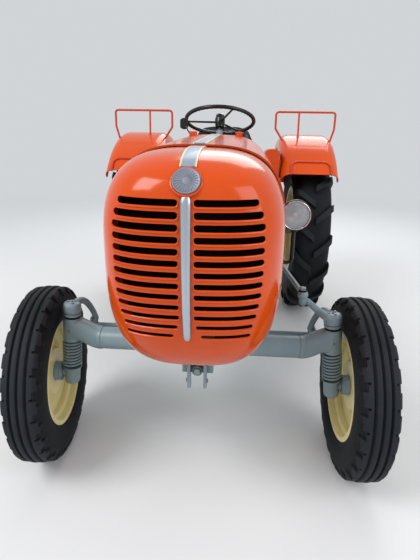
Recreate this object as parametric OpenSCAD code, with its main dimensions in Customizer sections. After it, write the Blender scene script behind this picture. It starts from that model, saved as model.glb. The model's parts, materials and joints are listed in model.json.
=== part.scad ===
// Vintage farm tractor on four wheels, millimetres, +Z up, front towards -Y
// The tractor's left side is +X; ground is z = 0

/* [Overall] */
// Distance between the front and rear axles
wheelbase = 1834; // [1800:1:1900]
// Distance between the front tyres' centre planes
front_track = 1241; // [1230:1:1270]
// Distance between the rear tyres' centre planes
rear_track = 1263; // [1255:1:1275]
// Running clearance of shafts and pins, on the radius
run_gap = 0.05; // [0.02:0.01:0.1]

/* [Front wheels] */
// Outer radius of a front tyre
ft_r = 355; // [345:1:360]
// Width of a front tyre
ft_w = 141; // [130:1:146]
// Radius of the front rim's bead seat
fr_seat = 203; // [200:1:206]
// Width of the front rim over its flanges
fr_w = 112; // [104:1:116]
// Radius of the front hub
f_hub_r = 38; // [34:1:42]
// Radius of the front stub axle
stub_r = 17; // [14:1:20]

/* [Rear wheels] */
// Outer radius of a rear tyre over its lugs
rt_r = 612; // [600:1:616]
// Width of a rear tyre
rt_w = 256; // [244:1:262]
// Height of the rear tyre's lugs
lug_h = 30; // [24:1:34]
// Radius of the rear rim's bead seat
rr_seat = 305; // [300:1:310]
// Width of the rear rim over its flanges
rr_w = 214; // [200:1:220]
// Radius of the rear axle shaft
shaft_r = 36; // [30:1:42]
// Half the width of the rear housing
diff_w = 180; // [170:1:190]
// Rear housing behind the rear axle
diff_y = 170; // [160:1:180]
// Radius of the rear hub
r_hub_r = 72; // [66:1:80]

/* [Front axle] */
// Height of the beam's centre
beam_z = 515; // [505:1:525]
// Radius of the beam tube
beam_r = 44; // [38:1:46]
// Length of the beam tube
beam_len = 800; // [760:1:830]
// Kingpin axis from the tractor's middle, at the wheel centre's height
kp_x = 533.5; // [530:0.5:540]
// Lean of the kingpin, top inwards
kp_inc = 4.7; // [3:0.1:6]
// Radius of the kingpin
kp_r = 14; // [12:1:16]
// Radius of the kingpin housing
kp_house_r = 35; // [32:0.5:36]
// Radius of the cap on the kingpin
kp_cap_r = 30; // [27:1:31]
// Height of the cap on the kingpin
kp_cap_h = 64; // [58:1:68]
// Radius of the spindle between the cup and the hub
spindle_r = 22; // [20:1:23]
// Top of the spring's cup above the wheel centre
cup_z = 26; // [24:1:30]
// Bottom of the kingpin housing above the wheel centre
house_z0 = 146; // [144:1:150]
// Top of the kingpin housing above the wheel centre
house_z1 = 246; // [240:1:250]
// Length of the tie rod arm
arm_len = 158; // [150:1:162]
// Angle of the tie rod arm inwards from straight back
arm_a = 20; // [16:1:24]
// Height of the tie rod arm's eye
arm_z = 522; // [516:1:528]
// Length of the drag link arm
drag_arm = 115; // [112:1:118]
// Angle of the drag link arm inwards from straight back
drag_a = 70; // [68:1:72]
// Height of the drag link arm's eye
drag_z = 700; // [697:1:703]
// Gap between the tie rod's open end and the right arm's eye
open_gap = 2.5; // [2:0.1:4]
// How far the left wheel is steered as it stands
rest_left = 1; // [0:0.1:2]
// How far the right wheel is steered as it stands
rest_right = 5.7; // [4.5:0.1:6]
// Mean radius of the coil spring
spring_r = 32.5; // [31:0.5:33]
// Radius of the spring's wire
spring_wire = 5; // [4:0.5:5.5]
// Turns of the spring
spring_turns = 7; // [6:1:8]

/* [Nose] */
// Plane where the nose ends and the hood starts, behind the front axle
seam_y = -77; // [-80:1:-72]
// Length of the nose ahead of the seam
nose_len = 359; // [345:1:370]
// Half the width of the nose at the seam
nose_w = 288; // [280:1:290]
// Height of the nose's widest place
nose_z0 = 934; // [920:1:950]
// Height of the nose's top
nose_zt = 1260; // [1255:1:1265]
// Height of the nose's bottom
nose_zb = 540; // [535:1:560]
// Height of the nose's foremost point
nose_zc = 1088; // [1070:1:1100]
// Exponent of the nose's upper outline
nose_nt = 3.2; // [3:0.1:3.5]
// Exponent of the nose's lower outline
nose_nb = 3; // [2.8:0.1:3.2]
// Exponent of the nose's profile
nose_m = 3.1; // [2.8:0.1:3.4]
// Thickness of the nose
nose_t = 4; // [3:0.5:6]

// Height of the lowest slot's middle
slot_z0 = 737; // [735:0.5:740]
// Distance between the slots
slot_pitch = 32.67; // [32.5:0.01:32.8]
// Number of slots on each side
slot_n = 13; // [12:1:13]
// Half the width of the bar between the slots
slot_in = 20; // [18:0.5:22]

/* [Hood] */
// Gap of the hood outside the nose's outline
hood_over = 6; // [5.5:0.5:8]
// Thickness of the hood
hood_t = 3; // [2:0.5:4]
// Length of the hood
hood_len = 880; // [860:1:900]
// Rise of the hood to the rear in degrees
hood_rise = 2.15; // [1.5:0.05:2.5]
// Height of the hood's lower edge at its front
hood_zb = 790; // [780:1:800]
// Bottom of the radiator
rad_z = 611; // [606:1:616]
// Radius of the round emblem plate
badge_r = 44; // [40:1:46]
// Width of the bright strip
strip_w = 46; // [40:1:50]
// Thickness of the bright strip
strip_t = 4; // [3:0.5:6]
// Length of the dashboard cowl
cowl_len = 165; // [150:1:180]
// Gap between the hood and the cowl
cowl_gap = 6; // [5:0.5:8]
// Height of the hood's hinge above its crown
hinge_up = 10; // [9.5:0.5:14]
// Places of the hinges from the middle
hinge_x = 120; // [90:1:150]
// Lower edge of the cowl
cowl_zb = 830; // [826:1:850]

/* [Steering] */
// Centre of the steering wheel behind the cowl
sw_back = 202.6; // [190:0.1:215]
// Height of the steering wheel's centre
sw_z = 1382; // [1372:1:1392]
// Lean of the steering column
col_a = 19.8; // [18:0.1:21]
// Outer radius of the steering wheel
sw_r = 211.5; // [205:0.5:215]
// Radius of the steering wheel's rim section
sw_rim = 11; // [9:0.5:13]
// Radius of the steering shaft
sw_shaft = 10; // [8:1:12]
// Length of the column jacket
col_len = 480; // [470:1:490]
// Height of the pitman shaft
pit_z = 800; // [796:1:804]
// Pitman shaft ahead of the cowl's rear
pit_in = 14.4; // [8:0.1:20]
// Length of the pitman arm between centres
pit_len = 120; // [115:1:125]
// Inner face of the pitman arm from the tractor's middle
pit_x = 286; // [280:1:292]
// Thickness of the pitman arm
pit_t = 14; // [10:1:18]

/* [Body] */
// Half the width of the engine
eng_w = 190; // [170:1:195]
// Front of the engine behind the front axle
eng_y0 = 200; // [190:1:220]
// Gap between the engine's rear and the cowl
eng_gap = 21.4; // [18:0.1:30]
// Bottom of the engine
eng_z0 = 470; // [450:1:480]
// Top of the engine
eng_z1 = 1080; // [1050:1:1100]
// Length of the clutch housing
bell_len = 180; // [160:1:200]
// Half the width of the clutch housing
bell_w = 170; // [160:1:180]
// Half the width of the gearbox
gb_w = 140; // [130:1:150]
// Bottom of the gearbox
gb_z0 = 450; // [440:1:470]
// Top of the gearbox
gb_z1 = 780; // [770:1:790]
// Radius of the fender's rounded shoulders
fen_s = 72; // [60:1:80]
// Outer radius of a fender
fen_r = 704; // [698:1:708]
// Inner edge of a fender from the tractor's middle
fen_x0 = 396; // [392:1:400]
// Outer edge of a fender from the tractor's middle
fen_x1 = 768.5; // [764:0.5:775]
// Thickness of the fender sheet
fen_t = 4; // [3:0.5:5]
// Angle of the fender's front end above the rear
fen_a1 = 139; // [137:1:141]
// Angle of the fender's rear end above the rear
fen_a0 = 25; // [22:1:28]
// Radius of a headlamp
lamp_r = 65; // [60:1:68]
// Headlamp's centre from the tractor's middle
lamp_x = 377; // [372:1:382]
// Headlamp's front behind the front axle
lamp_y = 290; // [280:1:300]
// Height of a headlamp's centre
lamp_z = 982; // [975:1:990]
// Height of the rail on a fender
rail_z = 1469; // [1460:1:1480]
// Rail's plane ahead of the rear axle
rail_y = 154; // [140:1:170]
// Radius of the rail's tube
rail_r = 9; // [7:0.5:11]
// Height of the footplates
foot_z = 600; // [590:1:610]
// Height of the seat cushion's base
seat_z = 985; // [975:1:1000]
// Middle of the seat ahead of the rear axle
seat_in = 174; // [150:1:180]
// Outer radius of the seat's back
seat_r = 266; // [258:1:272]
// Thickness of the seat's back
seat_t = 44; // [38:1:50]
// Height of the seat's back over the cushion's base
back_h = 396; // [380:1:410]
// Thickness of the cushion
cushion_t = 85; // [75:1:95]
// Width of the toolbox
box_w = 96; // [90:1:102]
// Length of the toolbox
box_l = 180; // [160:1:200]
// Height of the toolbox
box_h = 214; // [200:1:225]
// Radius of the drive shaft stub at the rear
pto_r = 17.4; // [17:0.1:18]
// Height of the drawbar's middle
bar_z = 515; // [505:1:525]
// Length of the drawbar behind the rear housing
bar_len = 255; // [240:1:270]
// Thickness of the drawbar
bar_t = 30; // [26:1:34]
// Radius of the drawbar's pin hole
pin_hole_r = 16; // [14:0.5:18]

/* [Hidden] */
rear_end_y = wheelbase + fen_r * cos(fen_a0);
nose_front_y = seam_y - nose_len;
y_front = -(rear_end_y + nose_front_y) / 2;
hood_off = hood_over + hood_t;
hood_y1 = seam_y + 3 + hood_len * cos(hood_rise);
hood_z = nose_zt + hood_over;
crown_z1 = hood_z + hood_t + hood_len * sin(hood_rise);
cowl_y0 = hood_y1 + cowl_gap;
cowl_y1 = cowl_y0 + cowl_len;
cowl_up = crown_z1 - nose_zt - hood_off;
sw_y = cowl_y1 + sw_back;
pit_y = cowl_y1 - pit_in;
eng_y1 = cowl_y0 - eng_gap;
bell_y1 = eng_y1 + bell_len;
seat_y = wheelbase - seat_in;
sup_z = rad_z - 1;
ear_y = beam_r + 6;
cap_mid = ft_r + house_z1 + 45;
f_hub_x0 = front_track / 2 - 46;
f_hub_x1 = front_track / 2 + 14;
$fn = 64;

orange = [0.83, 0.30, 0.13];
grey = [0.50, 0.58, 0.58];
cream = [0.85, 0.78, 0.48];
black = [0.06, 0.06, 0.07];
bright = [0.75, 0.76, 0.77];

module place() { translate([0, y_front, 0]) children(); }
module lie_x(x0) { translate([x0, 0, 0]) rotate([0, 90, 0]) children(); }
module side(x0, t) { translate([x0, 0, 0]) rotate([90, 0, 90]) linear_extrude(t) children(); }
module across(y1, t) { translate([0, y1, 0]) rotate([90, 0, 0]) linear_extrude(t) children(); }
module block(x0, x1, y0, y1, z0, z1) {
    translate([x0, y0, z0]) cube([x1 - x0, y1 - y0, z1 - z0]);
}
// straight round bar between two points, with a radius at each end
module bar(a, b, r1, r2) {
    d = b - a;
    len = norm(d);
    translate(a) rotate([0, acos(d[2] / len), atan2(d[1], d[0])])
        cylinder(h = len, r1 = r1, r2 = r2);
}
module ball(p, r) { translate(p) sphere(r); }
// round bar through a row of points, with a ball at each bend
module run(p, r) {
    for (i = [0:len(p) - 2]) bar(p[i], p[i + 1], r, r);
    for (i = [1:len(p) - 2]) ball(p[i], r + 0.5);
}
// box section along y with cut corners, from y0 to y1
module casting(y0, y1, w, z0, z1, c) across(y1, y1 - y0) polygon([
    [-w + c, z0], [w - c, z0], [w, z0 + c], [w, z1 - c], [w - c, z1], [-w + c, z1],
    [-w, z1 - c], [-w, z0 + c]]);

// kingpin's own frame: z up along the pin from the wheel centre's height
module pin_frame(s) {
    translate([s * kp_x, 0, ft_r]) rotate([0, -s * kp_inc, 0]) children();
}
// turns what is drawn straight ahead to the steered rest pose
module steered(s, a) {
    pin_frame(s) rotate([0, 0, a]) rotate([0, s * kp_inc, 0])
        translate([-s * kp_x, 0, -ft_r]) children();
}
module steered_side(s) {
    if (s > 0) steered(1, rest_left) children();
    else steered(-1, rest_right) children();
}

// wheels
module front_rim(s) {
    h = fr_w / 2;
    translate([s * front_track / 2, 0, ft_r]) rotate([0, s * 90, 0]) {
        rotate_extrude($fn = 96) polygon([
            [fr_seat, -h + 6], [fr_seat + 14, -h + 4], [fr_seat + 14, -h], [fr_seat - 4, -h],
            [fr_seat - 4, -h + 24], [fr_seat - 20, -h + 32], [fr_seat - 20, h - 30],
            [fr_seat - 4, h - 20], [fr_seat - 4, h], [fr_seat + 14, h],
            [fr_seat + 14, h - 4], [fr_seat, h - 6], [fr_seat, h - 22],
            [fr_seat - 16, h - 32], [fr_seat - 16, -h + 34], [fr_seat, -h + 26]]);
        rotate_extrude($fn = 96) polygon([
            [f_hub_r - 2, -14], [90, -14], [110, 12], [150, 16], [fr_seat - 19, 2],
            [fr_seat - 19, -3], [150, 10], [113, 6], [94, -19], [f_hub_r - 2, -19]]);
        difference() {
            translate([0, 0, -46]) cylinder(h = 60, r = f_hub_r);
            translate([0, 0, -47]) cylinder(h = 48, r = stub_r + run_gap);
        }
    }
}
// a tyre's section from the bead to the crown: share of its height, share of half its width
function section(r0, r1, h, p) = concat(
    [for (q = p) [r0 + (r1 - r0) * q[0], -h * q[1]]],
    [for (i = [len(p) - 1:-1:0]) [r0 + (r1 - r0) * p[i][0], h * p[i][1]]]);
front_sec = [[0, 0.71], [0.12, 0.76], [0.42, 1], [0.66, 0.98], [0.92, 0.78], [0.975, 0.44],
    [0.93, 0.38], [0.985, 0.31], [1, 0.05], [0.94, 0]];
rear_sec = [[0, 0.77], [0.2, 0.9], [0.4, 0.98], [0.62, 0.94], [0.83, 0.8], [0.915, 0.1]];
module front_tyre(s) translate([s * front_track / 2, 0, ft_r]) rotate([0, s * 90, 0])
    rotate_extrude($fn = 28) polygon(section(fr_seat, ft_r, ft_w / 2, front_sec));
module rear_rim(s) {
    h = rr_w / 2;
    translate([s * rear_track / 2, wheelbase, rt_r]) rotate([0, s * 90, 0]) {
        rotate_extrude($fn = 96) polygon([
            [rr_seat, -h + 8], [rr_seat + 22, -h + 5], [rr_seat + 22, -h], [rr_seat - 5, -h],
            [rr_seat - 5, -h + 40], [rr_seat - 32, -h + 55], [rr_seat - 32, h - 55],
            [rr_seat - 5, h - 40], [rr_seat - 5, h], [rr_seat + 22, h],
            [rr_seat + 22, h - 5], [rr_seat, h - 8], [rr_seat, h - 42],
            [rr_seat - 27, h - 57], [rr_seat - 27, -h + 57], [rr_seat, -h + 42]]);
        rotate_extrude($fn = 96) polygon([
            [r_hub_r - 2, -30], [130, -30], [180, 10], [230, 14], [rr_seat - 31, -8],
            [rr_seat - 31, -16], [230, 6], [184, 2], [134, -38], [r_hub_r - 2, -38]]);
        difference() {
            translate([0, 0, -60]) cylinder(h = 60, r = r_hub_r);
            translate([0, 0, -61]) cylinder(h = 62, r = shaft_r + run_gap);
        }
    }
}
lug_n = 17;
// a lug's outline from its side: share of half the tyre's width, depth under its radius
lug_side = [[0.02, 0], [0.6, 6], [1.2, 38], [1.2, 150], [0.02, 50]];
module rear_tyre(s) mirror([s < 0 ? 1 : 0, 0, 0])
    translate([rear_track / 2, wheelbase, rt_r]) rotate([0, 90, 0]) {
        h = rt_w / 2;
        rotate_extrude($fn = 28) polygon(section(rr_seat, rt_r, h, rear_sec));
        intersection() {
            cube([2 * rt_r, 2 * rt_r, rt_w], center = true);
            for (d = [0, 1], i = [0:lug_n - 1]) mirror([0, 0, d])
                rotate([0, 0, 360 * (i + d / 2) / lug_n]) rotate([132, 0, 0])
                    translate([0, 0, -19]) linear_extrude(38)
                        polygon([for (p = lug_side) [rt_r - p[1], -p[0] * h / cos(42)]]);
        }
    }

// front axle with its kingpin housings
arm_s = [for (i = [0:8]) let (t = i / 8) [t, t * t * (3 - 2 * t)]];
module front_axle() color(grey) difference() {
    union() {
        difference() {
            lie_x(-beam_len / 2) translate([-beam_z, 0, 0]) cylinder(h = beam_len, r = beam_r);
            translate([0, -beam_r - 1, beam_z]) rotate([-90, 0, 0])
                cylinder(h = 2 * beam_r + 2, r = 18 + run_gap);
        }
        for (s = [-1, 1]) {
            lie_x(s * beam_len / 2 - 14) translate([-beam_z, 0, 0]) rotate_extrude() polygon([
                [0, 0], [beam_r + 4, 0], [beam_r + 7, 3], [beam_r + 7, 25], [beam_r + 4, 28],
                [0, 28]]);
            // cast arm that rises in a double curve from the beam to the housing
            x0 = beam_len / 2 + 6;
            x1 = kp_pin_x(ft_r + house_z1) - 12;
            across(24, 48) polygon(concat(
                [for (t = arm_s) [s * (x0 + (x1 - x0) * t[0]),
                    beam_z + beam_r + (ft_r + house_z1 - 5 - beam_z - beam_r) * t[1]]],
                [for (i = [8:-1:0]) [s * (x0 + (x1 - x0) * arm_s[i][0]),
                    beam_z - beam_r + (ft_r + house_z0 + 6 - beam_z + beam_r) * arm_s[i][1]]]));
            pin_frame(s) translate([0, 0, house_z0]) rotate_extrude() polygon([[0, 0],
                [kp_house_r - 2, 0], [kp_house_r, 2], [kp_house_r, house_z1 - house_z0 - 2],
                [kp_house_r - 2, house_z1 - house_z0], [0, house_z1 - house_z0]]);
        }
    }
    for (s = [-1, 1]) pin_frame(s) translate([0, 0, house_z0 - 1])
        cylinder(h = house_z1 - house_z0 + 60, r = kp_r + run_gap);
}

// tube along a helix, as rings of points
function helix_pt(i, j, n, m, r, w, z0, rise) =
    let (a = 360 * i / n, b = 360 * j / m)
    [(r + w * cos(b)) * cos(a), (r + w * cos(b)) * sin(a), z0 + rise * i / n + w * sin(b)];
module helix(r, w, z0, z1, turns) {
    n = 14;
    m = 6;
    k = n * turns;
    rise = (z1 - z0 - 2 * w) / turns;
    polyhedron(
        points = [for (i = [0:k]) for (j = [0:m - 1]) helix_pt(i, j, n, m, r, w, z0 + w, rise)],
        faces = concat(
            [[for (j = [0:m - 1]) j]],
            [[for (j = [m - 1:-1:0]) k * m + j]],
            [for (i = [0:k - 1]) for (j = [0:m - 1])
                [i * m + j, (i + 1) * m + j, i * m + (j + 1) % m]],
            [for (i = [0:k - 1]) for (j = [0:m - 1])
                [i * m + (j + 1) % m, (i + 1) * m + j, (i + 1) * m + (j + 1) % m]]));
}
module spring(s) color(grey) steered_side(s) pin_frame(s)
    helix(spring_r, spring_wire, cup_z + 0.3, house_z0 - 0.3, spring_turns);

// place of a point on a knuckle after it is steered by an angle
function turned(s, a, p) =
    let (c = [s * kp_x, 0, ft_r], k = [-s * sin(kp_inc), 0, cos(kp_inc)], v = p - c)
    c + v * cos(a) + cross(k, v) * sin(a) + k * (k * v) * (1 - cos(a));
function kp_pin_x(z) = kp_x - (z - ft_r) * tan(kp_inc);
function arm_end(s) = [s * (kp_pin_x(arm_z) - arm_len * sin(arm_a)), arm_len * cos(arm_a), arm_z];
tie_l = turned(1, rest_left, arm_end(1));
tie_r = turned(-1, rest_right, arm_end(-1));
drag_e = [kp_pin_x(drag_z) - drag_arm * sin(drag_a), drag_arm * cos(drag_a), drag_z];
drag_f = turned(1, rest_left, drag_e);
drag_b = [pit_x + pit_t + 14.5, pit_y, pit_z - pit_len];
// hinge axes of the two links lean almost like the kingpin
module tie_frame() { translate(tie_l) rotate([1.37, -4.59, 0]) children(); }
module drag_frame() { translate(drag_f) rotate([-4.375, -5.074, 0]) children(); }

// kingpin with its cup, stub axle and arms
module knuckle(s) color(grey) {
    e = arm_end(s);
    u = [-s * sin(arm_a), cos(arm_a), 0];
    cap = [s * kp_pin_x(cap_mid), 0, cap_mid];
    c0 = spring_r + spring_wire;
    // curved lever from the cap to the tie rod: distance along it, height over the cap's middle
    lever = [for (q = [[0, 0], [46, 6], [88, -12], [124, -54], [arm_len - 6, arm_z + 18 - cap_mid]])
        cap + u * q[0] + [0, 0, q[1]]];
    steered_side(s) {
        pin_frame(s) rotate_extrude() polygon([[0, -56], [18, -56], [29, -46], [29, cup_z - 9],
            [c0, cup_z - 5], [c0, cup_z], [kp_r, cup_z], [kp_r, house_z1 + 1],
            [kp_cap_r, house_z1 + 1], [kp_cap_r, house_z1 + kp_cap_h - 8],
            [kp_cap_r - 6, house_z1 + kp_cap_h - 1], [0, house_z1 + kp_cap_h + 1]]);
        bar([s * kp_x, 0, ft_r], [s * (f_hub_x0 - 5), 0, ft_r], spindle_r, spindle_r);
        bar([s * kp_x, 0, ft_r], [s * (f_hub_x1 - 16), 0, ft_r], stub_r, stub_r);
        difference() {
            run(concat(lever, [e]), 11);
            translate([e[0], e[1], arm_z - 30]) cylinder(h = 60, r = 14);
        }
        if (s > 0) difference() {
            run([cap + [0, 0, 4], [drag_e[0] + 56, drag_e[1] - 20, drag_z - 36],
                [drag_e[0] + 18, drag_e[1] - 5, drag_z - 6], drag_e], 11.5);
            translate([drag_e[0], drag_e[1], drag_z - 20]) cylinder(h = 50, r = 13);
        } else {
            translate([e[0], e[1], arm_z - 8]) cylinder(h = 16, r = 17);
            translate([e[0], e[1], arm_z + 7]) cylinder(h = 11, r = 11, $fn = 6);
        }
    }
    if (s > 0) {
        tie_frame() difference() {
            translate([0, 0, -8]) cylinder(h = 16, r = 17);
            translate([0, 0, -9]) cylinder(h = 18, r = 8 + run_gap);
        }
        drag_frame() {
            translate([0, 0, -13]) cylinder(h = 21, r = 16);
            cylinder(h = 36, r = 8);
            translate([0, 0, 33]) cylinder(h = 8, r = 13, $fn = 6);
        }
    }
}

// steering links; the tie rod's right end and the drag link's rear end are open pivots
module tie_rod() color(grey) {
    tie_frame() {
        translate([0, 0, -34.5]) cylinder(h = 26, r = 16);
        translate([0, 0, -10]) cylinder(h = 30, r = 8);
        translate([0, 0, 8.5]) cylinder(h = 11, r = 12, $fn = 6);
    }
    translate([tie_r[0], tie_r[1], tie_r[2] - 34 - open_gap]) cylinder(h = 26, r = 16);
    bar(tie_l - [0, 0, 22], tie_r - [0, 0, 22 + open_gap], 11, 11);
}
module drag_link() color(grey) {
    difference() {
        union() {
            drag_frame() translate([0, 0, 8.5]) cylinder(h = 24, r = 16);
            bar(drag_f + [0, 0, 20.5], drag_b, 10, 10);
        }
        drag_frame() cylinder(h = 40, r = 8 + run_gap);
    }
    lie_x(drag_b[0] - 14) translate([-drag_b[2], drag_b[1], 0]) cylinder(h = 28, r = 17);
}
module pitman_arm() color(grey) {
    bar([0, pit_y, pit_z], [pit_x + 1, pit_y, pit_z], 14, 14);
    side(pit_x, pit_t) {
        translate([pit_y, pit_z]) circle(20);
        translate([pit_y, pit_z - pit_len]) circle(17);
        polygon([[pit_y - 18, pit_z - 6], [pit_y - 15, pit_z - pit_len],
            [pit_y + 15, pit_z - pit_len], [pit_y + 18, pit_z - 6]]);
    }
}
module steering_column() color(grey) {
    difference() {
        block(-95, 95, pit_y - 62, pit_y + 76, gb_z1, pit_z + 70);
        bar([-10, pit_y, pit_z], [110, pit_y, pit_z], 14 + run_gap, 14 + run_gap);
    }
    translate([0, sw_y, sw_z]) rotate([-col_a, 0, 0]) difference() {
        translate([0, 0, -col_len - 60]) cylinder(h = col_len, r = 19);
        translate([0, 0, -310]) cylinder(h = 300, r = sw_shaft + run_gap);
    }
}
module steering_wheel() color(black) translate([0, sw_y, sw_z]) rotate([-col_a, 0, 0]) {
    rotate_extrude($fn = 96) translate([sw_r - sw_rim, 0]) circle(sw_rim, $fn = 24);
    for (a = [55, 175, 295]) rotate([0, 0, a])
        bar([12, 0, -8], [sw_r - 1.2 * sw_rim, 0, 0], 6.5, 5.5);
    rotate_extrude() polygon([[0, -300], [sw_shaft, -300], [sw_shaft, -44], [26, -40], [30, -10],
        [30, 10], [25, 26], [16, 36], [0, 40]]);
}

// nose as a superellipse dome
rings = [1, 0.995, 0.98, 0.955, 0.92, 0.87, 0.8, 0.71, 0.6, 0.47, 0.31, 0.14];
function se(c, n) = sign(c) * pow(abs(c), 2 / n);
function sec_pt(a, d) =
    let (c = cos(a), s = sin(a), n = s >= 0 ? nose_nt : nose_nb,
         h = s >= 0 ? nose_zt - nose_z0 + d : nose_z0 - nose_zb + d)
    [(nose_w + d) * se(c, n), nose_z0 + h * se(s, n)];
function dome_y(s, d) = seam_y - (nose_len + d) * pow(1 - pow(s, nose_m), 1 / nose_m);
function dome_pt(a, s, d) =
    let (p = sec_pt(a, d)) [p[0] * s, dome_y(s, d), nose_zc + (p[1] - nose_zc) * s];
module dome(n, d0, d1) {
    k = len(rings);
    q = n * k + 1;
    polyhedron(
        points = concat(
            [for (s = rings) for (i = [0:n - 1]) dome_pt(360 * i / n, s, d0)],
            [[0, dome_y(0, d0), nose_zc]],
            [for (s = rings) for (i = [0:n - 1]) dome_pt(360 * i / n, s, d1)],
            [[0, dome_y(0, d1), nose_zc]]),
        faces = concat(
            [for (r = [0:k - 2]) for (i = [0:n - 1])
                [r * n + i, (r + 1) * n + i, r * n + (i + 1) % n]],
            [for (r = [0:k - 2]) for (i = [0:n - 1])
                [r * n + (i + 1) % n, (r + 1) * n + i, (r + 1) * n + (i + 1) % n]],
            [for (i = [0:n - 1]) [(k - 1) * n + i, n * k, (k - 1) * n + (i + 1) % n]],
            [for (r = [0:k - 2]) for (i = [0:n - 1])
                [q + r * n + i, q + r * n + (i + 1) % n, q + (r + 1) * n + i]],
            [for (r = [0:k - 2]) for (i = [0:n - 1])
                [q + r * n + (i + 1) % n, q + (r + 1) * n + (i + 1) % n, q + (r + 1) * n + i]],
            [for (i = [0:n - 1]) [q + (k - 1) * n + i, q + (k - 1) * n + (i + 1) % n, q + n * k]],
            [for (i = [0:n - 1]) [i, (i + 1) % n, q + i]],
            [for (i = [0:n - 1]) [(i + 1) % n, q + (i + 1) % n, q + i]]));
}
// slots from the lowest up: outer end from the middle, height
slots = [[185, 13], [190, 14], [199, 15], [205, 16], [210, 17], [212, 18], [213, 18], [213, 19],
    [213, 20], [213, 20], [212, 21], [205, 21], [191, 20]];
module slot(i, s) {
    r = slots[i][1] / 2;
    x0 = slot_in + (i == 0 ? 20 : i == 1 ? 6 : 0) + r;
    x1 = slots[i][0] - r;
    z = slot_z0 + slot_pitch * i;
    across(seam_y - nose_len / 2, nose_len) polygon(concat(
        [for (a = [-90:45:90]) [s * (x1 + r * cos(a)), z + r * sin(a)]],
        [for (a = [90:45:270]) [s * (x0 + r * cos(a)), z + r * sin(a)]]));
}
module nose() color(orange) resize([2 * nose_w, 0, 0]) difference() {
    dome(48, 0, -nose_t);
    for (i = [0:slot_n - 1]) for (s = [-1, 1]) slot(i, s);
}
// front profile at the middle, where the bright parts lie on the nose
function front_pt(s, up, d) =
    [dome_y(s, 0) - d * pow(1 - s, 0.4), nose_zc + (up > 0 ? nose_zt : nose_zb) * s - nose_zc * s
        + up * d * pow(s, 3)];
module nose_trim() color(bright) {
    low = [for (s = rings) if (s < 0.75 && s > 0) s];
    high = [for (i = [len(rings) - 1:-1:0]) if (rings[i] < 0.28) rings[i]];
    path = concat([for (s = low) [s, -1]], [for (s = high) [s, 1]]);
    zt = slot_z0 + slot_pitch * 12.5;
    // bar down the middle, wider at its round top
    intersection() {
        side(-15, 30) polygon(concat(
            [for (p = path) front_pt(p[0], p[1], 7)],
            [for (i = [len(path) - 1:-1:0]) front_pt(path[i][0], path[i][1], 0)]));
        across(0, nose_len + 200) polygon(concat(
            [for (a = [0:15:180]) [12.5 * cos(a), zt - 12.5 + 12.5 * sin(a)]],
            [for (a = [180:15:360]) [8.5 * cos(a), slot_z0 - 12 + 8.5 * sin(a)]]));
    }
    translate([0, dome_y(0.53, 0), nose_zc + (nose_zt - nose_zc) * 0.53]) rotate([86, 0, 0])
        rotate_extrude() polygon([[0, 0], [badge_r, 0], [badge_r, 4], [badge_r - 3, 7],
            [badge_r - 14, 9], [0, 10]]);
    top = [for (s = rings) if (s > 0.78) s];
    side(-strip_w / 2, strip_w) polygon(concat(
        [for (s = top) front_pt(s, 1, strip_t)],
        [for (i = [len(top) - 1:-1:0]) front_pt(top[i], 1, 0)]));
}

// hood and cowl share one arched section
function arch(d, z0) =
    let (z_in = z0 - nose_z0, f = -z_in / (nose_z0 - nose_zb + d),
         a = z_in < 0 ? asin(pow(f, nose_nb / 2)) : 0)
    [for (i = [0:56]) let (t = -a + (180 + 2 * a) * i / 56) sec_pt(t, d)];
module arch_shell(d, t, z0) polygon(concat(arch(d, z0), [for (i = [56:-1:0]) arch(d - t, z0)[i]]));
module hood_frame() translate([0, seam_y + 3, hood_z]) rotate([hood_rise, 0, 0])
    translate([0, 0, -hood_z]) children();
hinge_y = hood_y1 + cowl_gap / 2;
hinge_z = crown_z1 + hinge_up;
module hood() color(orange) {
    intersection() {
        hood_frame() translate([0, -40, 0]) across(hood_len + 80, hood_len + 80)
            arch_shell(hood_off, hood_t, hood_zb);
        block(-400, 400, seam_y + 3, hood_y1, 0, 2 * nose_zt);
    }
    for (s = [-1, 1]) difference() {
        union() {
            lie_x(s * hinge_x - 14) translate([-hinge_z, hinge_y, 0]) cylinder(h = 28, r = 6);
            block(s * hinge_x - 14, s * hinge_x + 14, hinge_y - 45, hinge_y - 3,
                crown_z1 - 9, hinge_z - 1);
        }
        lie_x(s * hinge_x - 15) translate([-hinge_z, hinge_y, 0]) cylinder(h = 30, r = 3 + run_gap);
    }
}
module hood_strip() color(bright) hood_frame() block(-strip_w / 2, strip_w / 2, 0, hood_len,
    hood_z + hood_t, hood_z + hood_t + strip_t);
module cowl() color(orange) {
    z0 = cowl_zb - cowl_up;
    translate([0, 0, cowl_up]) {
        across(cowl_y1, cowl_len) arch_shell(hood_off, hood_t, z0);
        across(cowl_y1 - 12, 4) difference() {
            polygon(arch(hood_off - hood_t, z0));
            translate([-110, 0]) square([220, pit_z + 90 - cowl_up]);
        }
        // open frame at the front
        across(cowl_y0 + 20, 4) difference() {
            polygon(arch(hood_off - hood_t, z0));
            translate([-220, z0 + 44]) square([440, nose_zt - 60 - z0 - 44]);
        }
    }
    for (s = [-1, 1]) {
        block(s * 135 - 25, s * 135 + 25, cowl_y0 + 16, cowl_y0 + 20, gb_z1, cowl_zb + 20);
        lie_x(s * hinge_x - 19) translate([-hinge_z, hinge_y, 0]) cylinder(h = 38, r = 3);
        for (d = [-19, 15]) side(s * hinge_x + d, 4) polygon([[hinge_y - 5, hinge_z - 6],
            [hinge_y - 5, hinge_z + 5], [cowl_y0 + 18, hinge_z + 5], [cowl_y0 + 32, crown_z1 - 12],
            [cowl_y0 + 1, crown_z1 - 12], [cowl_y0 + 1, hinge_z - 6]]);
    }
}
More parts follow.
